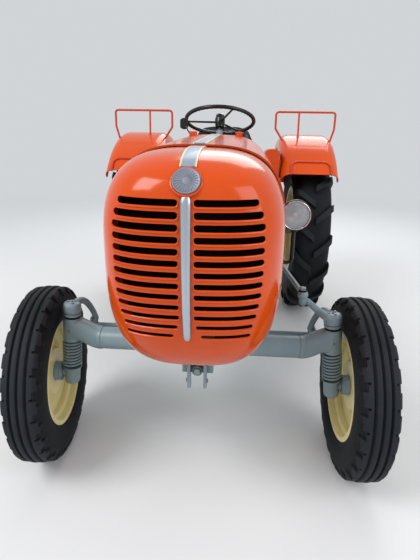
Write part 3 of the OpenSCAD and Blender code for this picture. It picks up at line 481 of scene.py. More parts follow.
# nose, hood and cowl share one family of sections
NOSE = {
    "w": 288.0,         # half width
    "z0": 934.0,        # height of the widest place
    "zt": 1260.0,       # top
    "zb": 540.0,        # foot
    "zc": 1088.0,       # height of the tip
    "nt": 3.2,          # exponent of the upper bulge: higher is squarer
    "nb": 3.0,          # exponent of the lower bulge
    "m": 3.1,           # exponent of the side view
    "seam": -77.0,      # rear edge
    "depth": 359.0,     # from the tip to the rear edge
    "t": 4.0,           # thickness of the casting
}


def bulge(upper, d):
    """Exponent and height of the section's upper or lower half, grown by d."""
    if upper:
        return NOSE["nt"], NOSE["zt"] - NOSE["z0"] + d
    return NOSE["nb"], NOSE["z0"] - NOSE["zb"] + d


def section(a, d):
    """Point of the rear section at an angle round it, grown by d."""
    c, s = math.cos(a), math.sin(a)
    n, h = bulge(s >= 0, d)
    return ((NOSE["w"] + d) * math.copysign(abs(c) ** (2 / n), c),
            NOSE["z0"] + h * math.copysign(abs(s) ** (2 / n), s))


def meridian(t):
    """Share of the section's size and of the depth at t, from the tip (0) to the rear (1)."""
    return (math.sin(t * math.pi / 2) ** (2 / NOSE["m"]),
            max(math.cos(t * math.pi / 2), 0.0) ** (2 / NOSE["m"]))


def dome(a, t, d):
    """Point of the nose: angle round it, place from its tip to its rear edge, growth."""
    x, z = section(a, d)
    s, c = meridian(t)
    return (x * s, NOSE["seam"] - (NOSE["depth"] + d) * c, NOSE["zc"] + (z - NOSE["zc"]) * s)


def ring_of(x, z):
    """Which ring of the nose passes through (x, z), found by halving."""
    lo, hi = 1e-4, 1.0
    for _ in range(40):
        s = (lo + hi) / 2
        px, pz = x / s, NOSE["zc"] + (z - NOSE["zc"]) / s - NOSE["z0"]
        n, h = bulge(pz >= 0, 0.0)
        if (abs(px) / NOSE["w"]) ** n + (abs(pz) / h) ** n > 1:
            lo = s
        else:
            hi = s
    return (lo + hi) / 2


def nose_y(x, z):
    """How far forward the nose's face lies at (x, z)."""
    return NOSE["seam"] - NOSE["depth"] * max(1 - ring_of(x, z) ** NOSE["m"], 0) ** (1 / NOSE["m"])


def nose_point(x, z, lift=0.0):
    """Point on the nose's face, lifted off it by some millimetres."""
    y, e = nose_y(x, z), 1.0
    gx = (nose_y(x + e, z) - nose_y(x - e, z)) / (2 * e)
    gz = (nose_y(x, z + e) - nose_y(x, z - e)) / (2 * e)
    n = Vector((gx, -1.0, gz)).normalized()
    return mm(x, y, z) + n * lift * MM


# rows of slots from the lowest: outer end and height of each
SLOTS = [(185, 13), (190, 14), (199, 15), (205, 16), (210, 17), (212, 18), (213, 18), (213, 19),
         (213, 20), (213, 20), (212, 21), (205, 21), (191, 20)]
# height of the lowest row, distance between rows, and where the slots start from the middle
SLOT_Z, SLOT_PITCH, SLOT_IN = 737, 32.67, 20


def slot_row(i):
    """Inner and outer end's centre, height in the nose and end radius of a slot."""
    r = SLOTS[i][1] / 2
    # the lowest two start further out
    x0 = SLOT_IN + (20 if i == 0 else 6 if i == 1 else 0) + r
    return x0, SLOTS[i][0] - r, SLOT_Z + SLOT_PITCH * i, r


def build_nose():
    """Front shell with its rows of slots cut through, and a rolled lip under each slot."""
    n, rows = 224, 65
    g = Geo()
    for d in (0.0, -NOSE["t"]):
        g.add([mm(*dome(2 * math.pi * j / n, 1 - i / (rows - 1), d))
               for i in range(rows) for j in range(n)], quads(rows, n))
    k = n * rows
    g.f += [(j, (j + 1) % n, k + (j + 1) % n, k + j) for j in range(n)]
    ob = g.make("nose_shell", "orange", None, 40)
    cut, lips = Geo(), Geo()
    # the cutters stand 170 mm ahead of the rear edge and reach 215 mm forwards, through the face
    reach = 0.215
    forwards = Matrix(((1, 0, 0, 0), (0, 0, -1, (NOSE["seam"] - 170) * MM + YF), (0, 1, 0, 0),
                       (0, 0, 0, 1)))
    for i in range(len(SLOTS)):
        x0, x1, z, r = slot_row(i)
        outline = arc(x1, z, r, range(-90, 91, 18)) + arc(x0, z, r, range(90, 271, 18))
        under = arc(x0, z, r, range(150, 271, 20))
        under += [(x0 + (x1 - x0) * j / 16, z - r) for j in range(1, 16)]
        under += arc(x1, z, r, range(-90, 31, 20))
        k = len(under)
        thick = [0.0034 * min(1, 0.25 + 0.75 * min(j, k - 1 - j) / 4) for j in range(k)]
        for s in (-1, 1):
            cut.prism(flat([(s * x, h) for x, h in outline]), reach, forwards)
            lips.tube([nose_point(s * x, h - 1.5, 0.3) for x, h in under], thick, 8)
    tool = cut.make("slot_tool", "orange", None)
    mod = ob.modifiers.new("slots", "BOOLEAN")
    mod.object = tool
    mod.solver = "EXACT"
    me = applied(ob)
    bpy.data.objects.remove(tool)
    me.shade_smooth()
    me.set_sharp_from_angle(angle=math.radians(40))
    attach(ob, "chassis")
    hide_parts("nose")
    lips.make("slot_lips", "orange", "chassis")


def build_nose_bar():
    """Upright bar: half round, wider at the top, with blunt ends."""
    z0, z1, rows, n = 727, 1146, 41, 13
    verts = []
    for i in range(rows):
        z = z0 + (z1 - z0) * i / (rows - 1)
        end = min(1.0, 0.72 + 0.28 * min(i, rows - 1 - i))
        half, high = (12.4 + 2.4 * i / (rows - 1)) * end, 10.5 * end
        out = nose_point(0, z, 1.0) - nose_point(0, z, 0.0)
        foot = nose_point(0, z, -1.5)
        for j in range(n):
            t = math.pi * j / (n - 1)
            verts.append(foot + Vector((half * MM * math.cos(t), 0, 0))
                         + out * (high + 1.5) * math.sin(t) ** 0.7)
    Geo().add(verts, quads(rows, n) + caps(rows, n)).make("nose_bar", "bright", "chassis", 50)


def build_emblem():
    """Bare dished badge with evenly spaced raised rays, a plain pattern, and its seat."""
    z = 1183
    m = at(nose_point(0, z, -1.0), nose_point(0, z, 1) - nose_point(0, z, 0))
    g = Geo()
    g.lathe([(0, 8), (8, 7.8), (33, 6), (35, 6.9), (37, 6.6), (38, 4), (38, -3), (0, -3)], m, 96)
    ray = [(11, -0.7, 7.4), (31, -1.7, 6), (31, 1.7, 6), (11, 0.7, 7.4),
           (11, -0.4, 8.6), (31, -1.1, 7.2), (31, 1.1, 7.2), (11, 0.4, 8.6)]
    for k in range(24):
        g.add([Vector(p) * MM for p in ray],
              [(0, 3, 2, 1), (4, 5, 6, 7), (0, 1, 5, 4), (1, 2, 6, 5), (2, 3, 7, 6),
               (3, 0, 4, 7)], m @ Matrix.Rotation(2 * math.pi * k / 24, 4, "Z"))
    g.make("emblem_plate", "satin", "chassis", 50)
    g = Geo()
    g.ring([(37.4, -3), (37.4, 2.4), (38.6, 3.2), (41, 3.2), (43.6, 1.4), (44, -3)], m, 96)
    g.make("emblem_seat", "orange", "chassis", 50)


def build_nose_strip():
    """Start of the hood's strip on the nose: a wide band between two thin lines."""
    line, last = [], 30
    for i in range(last + 1):
        s, c = meridian(0.43 + 0.57 * i / last)
        line.append((NOSE["seam"] - NOSE["depth"] * c, NOSE["zc"] + (NOSE["zt"] - NOSE["zc"]) * s))
    for name, x0, x1, mat, lift in (("nose_strip_edge", 18, 23, "ivory", 3.6),
                                    ("nose_strip_middle", -18, 18, "band", 4.2)):
        g = Geo()
        for s in ((-1, 1) if x0 > 0 else (1,)):
            verts, faces = [], []
            for i, (y, z) in enumerate(line):
                (y1, z1), (y2, z2) = line[max(i - 1, 0)], line[min(i + 1, last)]
                n = Vector((0, z1 - z2, y2 - y1)).normalized()
                verts += [mm(s * x, y, z) + n * h * MM for x in (x0, x1) for h in (-1.0, lift)]
            for a in range(0, 4 * last, 4):
                b = a + 4
                faces += [(a, a + 1, b + 1, b), (a + 1, a + 3, b + 3, b + 1),
                          (a + 3, a + 2, b + 2, b + 3), (a + 2, a, b, b + 2)]
            a = 4 * last
            g.add(verts, faces + [(0, 1, 3, 2), (a, a + 1, a + 3, a + 2)])
        ob = g.make(name, mat, "chassis")
        if x0 < 0:
            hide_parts("nose_trim")


# the hood rises to the rear
RISE = math.radians(2.15)
HOOD = {
    "y0": -74.0,        # front edge
    "z": 1266.0,        # top of the inside at the front
    "t": 3.0,           # sheet
    "zb": 790.0,        # lower edges
    "len": 880.0,       # length along the rise
    "skin": (9, 6),     # its outside and inside, proud of the nose's section
}
HOOD_Y1 = HOOD["y0"] + HOOD["len"] * math.cos(RISE)
CROWN = HOOD["z"] + HOOD["t"] + HOOD["len"] * math.sin(RISE)
# the hood's rear edge and highest place are above; the cowl follows after a gap
COWL_LEN = 165.0
COWL_Y0 = HOOD_Y1 + 6
COWL_Y1 = COWL_Y0 + COWL_LEN
COWL_UP = CROWN - NOSE["zt"] - 9
# hinges between hood and cowl
HINGE_X, HINGE_Y, HINGE_Z = 120, HOOD_Y1 + 3, CROWN + 10


def arch(d, z0, n=180):
    """The section's upper part down to z0 on both sides, grown by d."""
    f = (NOSE["z0"] - z0) / (NOSE["z0"] - NOSE["zb"] + d)
    a = math.asin(f ** (NOSE["nb"] / 2)) if f > 0 else 0
    return [section(-a + (math.pi + 2 * a) * i / n, d) for i in range(n + 1)]


def hood_point(x, z, y):
    """The hood's section is carried along its own rising line and cut upright."""
    t = (y - HOOD["y0"] + (z - HOOD["z"]) * math.sin(RISE)) / math.cos(RISE)
    return mm(x, y, HOOD["z"] + t * math.sin(RISE) + (z - HOOD["z"]) * math.cos(RISE))


def build_hood():
    """Lifting hood of folded sheet, with its front flange, hinges, rolled edges and catches."""
    y0, zb = HOOD["y0"], HOOD["zb"]
    ys = [y0 + (HOOD_Y1 - y0) * i / 24 for i in range(25)]
    skin = [[[hood_point(x, z, y) for x, z in arch(d, zb)] for y in ys] for d in HOOD["skin"]]
    ob = Geo().add(*walls(*skin)).make("hood_shell", "orange", "hood", 50)
    # flange turned in at the front, towards the nose
    rows = [[hood_point(x, z, y) for x, z in arch(d, zb)]
            for d, y in ((6.5, y0), (3.2, y0), (3.2, y0 + 2), (6.5, y0 + 2))]
    n = len(rows[0])
    ends = [(0, n, 2 * n, 3 * n), (n - 1, 2 * n - 1, 3 * n - 1, 4 * n - 1)]
    g = Geo().add([p for r in rows for p in r], quads(4, n, loop=True, ring=False) + ends)
    g.make("hood_flange", "orange", "hood", 50)
    hinge = Geo()
    for s in (-1, 1):
        x0, x, x1 = s * HINGE_X - 14, s * HINGE_X, s * HINGE_X + 14
        hinge.lathe([(3.1, 0), (6, 0.6), (6, 27.4), (3.1, 28)],
                    at(mm(x0, HINGE_Y, HINGE_Z), (1, 0, 0)), 32)
        hinge.box(mm(x0, HINGE_Y - 45, CROWN - 9), mm(x1, HINGE_Y - 4.5, CROWN + 2.5))
        hinge.box(mm(x0, HINGE_Y - 8, CROWN - 6), mm(x1, HINGE_Y - 3, HINGE_Z - 1))
        for dy in (-36, -20):
            hinge.bolt(mm(x, HINGE_Y + dy, CROWN + 2.4), (0, 0, 1), 0.005, 0.0035, washer=False)
    hinge.make("hood_hinges", "orange", "hood", bevel=0.0006)
    edge = Geo()
    for s in (-1, 1):
        foot = 0 if s > 0 else -1
        x, z = arch(7.5, zb)[foot]
        edge.tube([hood_point(x, z + 1, y) for y in ys], 0.0028, 10)
        x, z = arch(9, zb + 40)[foot]
        for y in (60.0, 640.0):
            p = hood_point(x, z, y)
            edge.box(p + Vector((-0.004, -0.017, -0.022)), p + Vector((0.004, 0.017, 0.022)))
    edge.make("hood_edges", "orange", "hood", bevel=0.0008)
    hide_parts("hood")


def build_hood_strip():
    """The strip along the hood: a wide band between two thin lines, edges eased."""
    for name, x0, x1, mat, h in (("hood_side_bands", 18, 23, "ivory", 3.6),
                                 ("hood_middle_band", -18, 18, "band", 4.0)):
        g = Geo()
        for s in ((-1, 1) if x0 > 0 else (1,)):
            a, b = sorted((s * x0, s * x1))
            low, high = HOOD["t"] + h - 0.8, HOOD["t"] + h
            edge = ((a, 2), (a, low), (a + 0.8, high), (b - 0.8, high), (b, low), (b, 2))
            verts = [hood_point(x, HOOD["z"] + z, y)
                     for y in (HOOD["y0"] + 0.5, HOOD_Y1 - 0.5) for x, z in edge]
            g.add(verts, quads(2, 6) + caps(2, 6))
        ob = g.make(name, mat, "hood")
        if x0 < 0:
            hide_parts("hood_strip")


def panel(g, rim, hole, y, t):
    """Flat plate of thickness t across y, with one four-sided window. The rim runs from the
    lower right over the top to the lower left, and each of three faces joins a side of the
    window to the nearest stretch of the rim."""
    n = len(rim)
    near = [min(range(n), key=lambda i: (rim[i][0] - x) ** 2 + (rim[i][1] - z) ** 2)
            for x, z in hole]
    verts = [mm(x, yy, z) for yy in (y, y - t) for x, z in list(rim) + list(hole)]
    k = n + 4
    faces = []
    order = [1, 2, 3, 0]
    cuts = [near[j] for j in order]
    cuts[0], cuts[-1] = 0, n - 1
    for base in (0, k):
        for q in range(3):
            a, b = cuts[q], cuts[q + 1]
            faces.append([base + i for i in range(a, b + 1)]
                         + [base + n + order[q + 1], base + n + order[q]])
        faces.append([base + n - 1, base, base + n + 1, base + n])
    for i in range(n):
        j = (i + 1) % n
        faces.append((i, j, k + j, k + i))
    for i in range(4):
        j = (i + 1) % 4
        faces.append((n + i, n + j, k + n + j, k + n + i))
    g.add(verts, faces)


def build_cowl():
    """Cowl between hood and driver: skin, both panels, the hinges' ears and the rear bead."""
    ys = [COWL_Y0 + COWL_LEN * i / 8 for i in range(9)]
    foot = 830
    zb = foot - COWL_UP
    skin = [[[mm(x, y, z + COWL_UP) for x, z in arch(d, zb)] for y in ys] for d in HOOD["skin"]]
    ob = Geo().add(*walls(*skin)).make("cowl_skin", "orange", "chassis", 50)
    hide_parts("cowl")
    # dashboard with room for the column, and an open frame at the front
    rim = [(x, z + COWL_UP) for x, z in arch(5.5, zb)]
    g = Geo()
    panel(g, rim, [(-110, foot), (110, foot), (110, 890), (-110, 890)], COWL_Y1 - 12, 4.0)
    panel(g, rim, [(-220, 874), (220, 874), (220, 1200 + COWL_UP), (-220, 1200 + COWL_UP)],
          COWL_Y0 + 20, 4.0)
    for s in (-1, 1):
        g.box(mm(s * 135 - 25, COWL_Y0 + 16, 780), mm(s * 135 + 25, COWL_Y0 + 20, 850))
    g.make("cowl_panels", "orange", "chassis", 40)
    g = Geo()
    ear = [(HINGE_Y - 5, HINGE_Z - 6), (HINGE_Y - 5, HINGE_Z + 2), (HINGE_Y - 2, HINGE_Z + 5),
           (COWL_Y0 + 18, HINGE_Z + 5), (COWL_Y0 + 32, CROWN - 12), (COWL_Y0 + 1, CROWN - 12),
           (COWL_Y0 + 1, HINGE_Z - 6)]
    for s in (-1, 1):
        for dx in (-19, 15):
            g.prism(flat(ear), 0.004, side_plane(s * HINGE_X + dx))
        g.lathe([(0, -20.5), (5, -20.5), (5, -19), (3, -19), (3, 19), (5, 19), (5, 20.5),
                 (0, 20.5)], at(mm(s * HINGE_X, HINGE_Y, HINGE_Z), (1, 0, 0)), 24)
    g.make("hinge_ears", "orange", "chassis", 40)
    g = Geo()
    g.tube([mm(x, COWL_Y1 - 3, z + COWL_UP) for x, z in arch(7.5, zb)], 0.003, 10)
    g.make("cowl_bead", "orange", "chassis")


def build_dash():
    """Three dials with plain ticks, and five pull knobs."""
    face = COWL_Y1 - 12
    dial, rim, lens, mark, knob = Geo(), Geo(), Geo(), Geo(), Geo()
    for x, z, r in ((-120, 1140, 45), (0, 1165, 36), (120, 1140, 45)):
        m = at(mm(x, face, z), (0, 1, 0))
        dial.lathe([(0, 0), (r, 0), (r, 1.2), (0, 1.2)], m, 64)
        rim.ring([(r - 1, 0), (r + 4, 0), (r + 4, 5), (r + 2, 7), (r - 1, 6.4)], m, 64)
        lens.lathe([(0, 5.2), (r - 1, 5.2), (r - 1, 4.2), (0, 4.2)], m, 64)
        for k in range(11):
            q = m @ Matrix.Rotation(math.radians(-130 + 26 * k), 4, "Z")
            mark.box((-0.0007, (r - 9) * MM, 0.0012), (0.0007, (r - 3) * MM, 0.0016), q)
        needle = m @ Matrix.Rotation(math.radians(-60), 4, "Z")
        mark.box((-0.0006, -0.004, 0.0016), (0.0006, (r - 8) * MM, 0.0024), needle)
    for x, z in ((-55, 1085), (0, 1075), (55, 1085), (-160, 1065), (160, 1065)):
        knob.lathe([(0, 0), (9, 0), (9, 3), (5, 5), (5, 14), (11, 16), (11, 22), (8, 24),
                    (0, 25)], at(mm(x, face, z), (0, 1, 0)), 32)
    dial.make("dial_faces", "black", "chassis")
    rim.make("dial_rims", "bright", "chassis")
    lens.make("dial_glasses", "glass", "chassis")
    mark.make("dial_marks", "ivory", "chassis")
    knob.make("dash_knobs", "phenolic", "chassis")


# tyres
def worn_faces(ob, m, where):
    """Scrubbed rubber where where(radius, distance from the middle) says so, in millimetres."""
    ob.data.materials.append(MAT["tread"])
    inv = m.inverted()
    for p in ob.data.polygons:
        c = inv @ p.center
        if where(math.hypot(c.x, c.y) / MM, abs(c.z) / MM):
            p.material_index = 1


def build_front_tyre(side):
    """Ribbed tyre: its profile goes round in steps, and the shoulder rib is stepped down
    between the blocks. Profiles are (radius, half width)."""
    m, body = wheel("front", side)
    half = [(203, 50), (210, 51), (216, 54), (222, 57.5), (226, 59.6), (228, 61.4), (231, 61.6),
            (233, 61.2), (242, 65.2), (256, 69), (272, 70.5), (290, 70.4), (306, 68.6),
            (318, 66), (321, 66.6), (325, 65.8), (332, 62.6)]
    tread = [(338, 60.5), (341.5, 57.5), (348, 53.5), (350.6, 49.5), (351.2, 42), (351.3, 40.8),
             (351.6, 34), (350.4, 32.2), (345, 31), (343.4, 28), (344.6, 24.4), (350, 22.6),
             (353.4, 21), (354.6, 17.5), (355, 12.5), (354.7, 8), (353.4, 5.4), (350, 4),
             (345.6, 3), (345, 0)]
    prof = half + tread
    prof += [(r, -w) for r, w in reversed(half + tread[:-1])]
    # where the shoulder is bare, a short block, or cut by a slit right across the rib
    k = len(half)
    bare = {k - 4: (317, 65), k - 3: (320.8, 62), k - 2: (325, 58.6), k - 1: (332, 54),
            k: (337, 50.6), k + 1: (341, 49.8), k + 2: (345, 49.3), k + 3: (350.3, 48.8)}
    short = {k - 4: (317, 65), k - 3: (320.8, 62), k - 2: (325, 58.6), k - 1: (331.6, 55)}
    slit = {**bare, k + 3: (343.4, 48), k + 4: (342.6, 42.3)}
    blocks = 27
    steps = [(0.0, slit), (1.1, slit), (1.25, bare), (4.9, bare), (5.05, {}), (7.1, {}),
             (9.2, {}), (9.35, short), (11.2, short), (13.18, short)]
    n, q = blocks * len(steps), len(prof)
    verts = []
    for p in range(blocks):
        for a, low in steps:
            t = math.radians(p * (360 / blocks) + a)
            for i, (r, w) in enumerate(prof):
                r2, w2 = low.get(min(i, q - 1 - i), (r, abs(w)))
                verts.append((r2 * MM * math.cos(t), r2 * MM * math.sin(t),
                              math.copysign(w2, w) * MM))
    g = Geo().add(verts, quads(n, q, loop=True), m)
    ob = g.make("ribbed_tyre_" + side, "rubber", body, 32)
    worn_faces(ob, m, lambda r, w: r > 345.4 or (r > 320 and 50 < w < 64 and r + w > 388))
    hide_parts("front_tyre_" + side)


def build_rear_tyre(side):
    """Lugged tyre: a turned carcass, and on each side 17 bars that sweep from the middle to
    the shoulder. Bars are given as (distance from the middle, radius)."""
    m, body = wheel("rear", side)
    s = 1 if side == "left" else -1
    half = [(305, 98.6), (318, 100), (330, 103), (338, 106.5), (341, 109.5), (346, 109.5),
            (349, 108.6), (366, 115.2), (395, 121.8), (427, 125.4), (462, 124.2), (495, 120.3),
            (516, 116.6), (520, 117.4), (526, 116), (545, 108), (562, 96), (574, 80), (581, 58),
            (585, 30), (586, 0)]
    g = Geo()
    g.ring(half + [(r, -w) for r, w in reversed(half[:-1])], m, 168)
    top = curve([(3, 611.5), (20, 611.5), (45, 610.6), (70, 608), (92, 602.5), (108, 593),
                 (118.5, 578), (124.5, 556), (126, 530), (121.5, 500)], 3)
    base = curve([(3, 570), (20, 570), (45, 568), (70, 562), (90, 552), (100, 540), (106, 525),
                  (109, 510), (112, 498), (114, 488)], 3)
    n, bars, mean_r = len(top), 17, 600
    for d in (1, -1):
        for i in range(bars):
            # the bars' chevrons point down at the tyre's front; the two sides are staggered
            a0 = s * 2 * math.pi * (i + (0.5 if d < 0 else 0)) / bars - math.pi / 2
            verts = []
            for k in range(n):
                (xt, rt), (xb, rb) = top[k], base[k]
                f = k / (n - 1)
                wt, wb = 20.5 + 3 * f, 29 + 3 * f
                # the upper edges are eased over 3.2 mm
                e = 3.2 / math.hypot(xt - xb, rt - rb)
                xc, rc = xt + (xb - xt) * e, rt + (rb - rt) * e
                # the bar leans 42 degrees and bends a little
                turn = xt * math.tan(math.radians(42)) - 5 * math.sin(f * math.pi)
                for x, r, w in ((xb, rb, -wb), (xc, rc, -wt - 1.6), (xt, rt, -wt + 1.8),
                                (xt, rt, wt - 1.8), (xc, rc, wt + 1.6), (xb, rb, wb)):
                    t = a0 - s * (turn + w) / mean_r
                    verts.append((r * MM * math.cos(t), r * MM * math.sin(t), d * x * MM))
            g.add(verts, quads(n, 6) + caps(n, 6), m)
    ob = g.make("lugged_tyre_" + side, "rubber", body, 34)
    worn_faces(ob, m, lambda r, w: r > 590)
    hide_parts("rear_tyre_" + side)


def build_tyres():
    """All four tyres."""
    for _, side in SIDES:
        build_front_tyre(side)
        build_rear_tyre(side)


# bolts: count, circle, height, first angle, size; cap's profile and steps; valve's foot, tip
# and how far its cap reaches on. Metres, but for the profiles.
WHEEL_PARTS = {
    "front": ((5, 0.064, -0.0142, 0.3, 0.0095, 0.009),
              ([(0, 33), (14, 31), (24, 26), (27, 19), (27.5, 15), (31, 15), (31, 13.6),
                (0, 13.6)], 48),
              ((0.181, 0, 0.028), (0.172, 0, 0.052), 0.35)),
    "rear": ((8, 0.103, -0.0302, 0.2, 0.014, 0.012),
             ([(0, 9), (30, 8), (37, 4), (38, 0.2), (58, 0.2), (60, -2), (0, -2)], 64),
             ((0.281, 0.02, 0.03), (0.27, 0.02, 0.062), 0.3)),
}


def build_wheel_fittings():
    """Wheel bolts, hub caps and tyre valves."""
    for _, side in SIDES:
        for end, (bolts, (prof, n), (foot, tip, reach)) in WHEEL_PARTS.items():
            m, body = wheel(end, side)
            g = Geo().bolt_ring(m, *bolts)
            g.make("%s_wheel_bolts_%s" % (end, side), "grey", body, 30)
            g = Geo().lathe(prof, m, n)
            if end == "rear":
                g.bolt_ring(m, 3, 0.049, 0.0002, 0.0, 0.006, 0.005, washer=False)
            g.make("%s_hub_cap_%s" % (end, side), "cream", body, 40)
            p0, p1 = m @ Vector(foot), m @ Vector(tip)
            g = Geo().tube([p0, (p0 + p1) / 2, p1], 0.0042)
            g.tube([p1, p1 + (p1 - p0) * reach], 0.0052)
            g.make("%s_valve_%s" % (end, side), "phenolic", body)


# front axle
# kingpins: distance from the middle and lean in degrees
KP, INC = 533.5, 4.7
LEAN = math.tan(math.radians(INC))
# how far each knuckle is turned at rest, in degrees, as the wheels stand in the photograph
REST = {"left": 1.0, "right": 5.7}


def pin_frame(side, turned=True):
    """Matrix on the kingpin's axis at hub height, z up the pin."""
    s = 1 if side == "left" else -1
    m = Matrix.Translation(mm(s * KP, 0, FT_R)) @ Matrix.Rotation(math.radians(-s * INC), 4, "Y")
    return m @ Matrix.Rotation(math.radians(REST[side]), 4, "Z") if turned else m


def nipple(g, m):
    """Grease nipple standing on m."""
    g.lathe([(0, 8), (1.6, 7.4), (2.6, 5.5), (2, 3.6), (4.4, 3), (4.6, -1), (0, -1)], m, 16)


def build_springs():
    """Coil springs, and each cap's bolts, grease nipple and seal."""
    r, w, z0, z1, turns, steps = 33.6, 5.0, 26.3, 145.7, 8, 40
    rise = (z1 - z0 - 2 * w) / turns
    for _, side in SIDES:
        m = pin_frame(side)
        coil = [m @ Vector((r * MM * math.cos(2 * math.pi * i / steps),
                            r * MM * math.sin(2 * math.pi * i / steps),
                            (z0 + w + rise * i / steps) * MM)) for i in range(steps * turns + 1)]
        ob = Geo().tube(coil, w * MM).make("coil_spring_" + side, "grey",
                                           BODY["spring_" + side], 60)
        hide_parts("spring_" + side)
        g = Geo().bolt_ring(m, 3, 0.0165, 0.3088, 0.9, 0.0056, 0.005)
        nipple(g, m @ Matrix.Translation((0, 0, 0.311)))
        g.make("cap_bolts_" + side, "grey", BODY["knuckle_" + side], 30)
        g = Geo().ring([(27, 246.4), (30.2, 246.4), (30.8, 248), (30.8, 253), (30.2, 254.8),
                        (27, 254.8)], m)
        g.make("cap_seal_" + side, "rubber", BODY["knuckle_" + side])


def build_front_axle():
    """Beam tube, and the arms cast with a ridge between their top and front faces."""
    axle_z, n, rows = 515, 40, 31
    g = Geo()
    g.lathe([(0, -402), (43.4, -402), (44, -400), (44, 400), (43.4, 402), (0, 402)],
            at(mm(0, 0, axle_z), (1, 0, 0)), 72)
    x0, x1 = 392.0, KP - LEAN * 190 - 6
    for s, side in SIDES:
        verts = []
        for k in range(rows):
            # the section goes from round at the beam to a leaning wedge at the housing
            t = k / (rows - 1)
            u = t * t * (3 - 2 * t)
            z_top = 559 + (598 - 559) * u
            z_low = 471 + (507 - 471) * min(1.0, u * 1.15)
            e = 2 + 1.8 * min(1.0, 2.2 * t)
            for j in range(n):
                a = 2 * math.pi * j / n
                cy = math.copysign(abs(math.cos(a)) ** (2 / e), math.cos(a))
                cz = math.copysign(abs(math.sin(a)) ** (2 / e), math.sin(a))
                lean = 14 * math.sin(math.pi * t) * (cz + 1) / 2
                verts.append(mm(s * (x0 + (x1 - x0) * t),
                                (44 - 7 * u) * cy + (lean if cy < 0 else -lean * 0.2),
                                (z_top + z_low) / 2 + (z_top - z_low) / 2 * cz))
        g.add(verts, quads(rows, n) + caps(rows, n))
        # joint between tube and casting, and the housing of the kingpin with its nipple
        g.lathe([(0, -6), (44.8, -6), (46, -4.5), (46, 9), (45, 11), (0, 11)],
                at(mm(s * 398, 0, axle_z), (s, 0, 0)), 72)
        pin = pin_frame(side, turned=False)
        g.ring([(14.6, 146), (33, 146), (35, 147.5), (35.4, 152), (35.4, 236), (34.4, 242),
                (32, 245.6), (14.6, 245.6)], pin, 72)
        g.lathe([(0, 9), (1.4, 8.4), (2.2, 6.5), (1.7, 4.6), (3.8, 4), (4, 0), (0, 0)],
                at(pin @ Vector((0, -0.0352, 0.196)), pin.to_3x3() @ Vector((0, -1, 0))), 16)
    ob = g.make("front_axle_casting", "grey", "chassis", 35)
    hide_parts("front_axle")


def build_axle_fittings():
    """Bolts of the axle's support, and on each side the cap's tiers and the hub."""
    g = Geo()
    g.bolt(mm(0, -95, 440), (0, -1, 0), 0.015, 0.011)
    for s in (-1, 1):
        for z in (400, 500):
            g.bolt(mm(s * 36.4, -96, z), (s, 0, 0), 0.008, 0.006)
        for y in (-62, 62):
            g.bolt(mm(s * 60, y, 545), (s, 0, 0), 0.009, 0.007)
    g.bolt(mm(0, -75, 515), (0, -1, 0), 0.016, 0.012)
    g.make("support_bolts", "grey", "chassis", 30)
    for _, side in SIDES:
        m = pin_frame(side)
        # two tiers of the kingpin's cap, and the shoulder under the spring
        g = Geo()
        g.ring([(29.6, 255), (32, 255), (33.4, 256.5), (33.4, 264), (32.4, 266), (29.6, 266)], m)
        g.ring([(29.6, 269), (32.6, 269), (34.4, 271), (35, 276), (35, 294), (34, 301),
                (31, 305.5), (27, 308), (24, 309.6), (22, 309.6), (22, 300)], m)
        g.ring([(28.6, -42), (29.8, -41), (30.4, -36), (31.6, 12), (33, 17), (37, 21),
                (37.4, 23), (36, 25.6), (28.6, 25.6)], m)
        g.make("cap_tiers_" + side, "grey", BODY["knuckle_" + side], 40)
        # grey hub inside the cream wheel
        m, body = wheel("front", side)
        g = Geo()
        g.ring([(23, -50.5), (30, -50.5), (32, -49), (33, -46.6), (38.2, -46.6), (39.6, -45),
                (39.6, -40), (37.9, -38.5), (38.8, -37), (38.8, -24), (40, -22), (40, -18.7),
                (37, -18.7), (37, -46.2), (23, -46.2)], m)
        g.make("front_hub_" + side, "grey", body, 40)


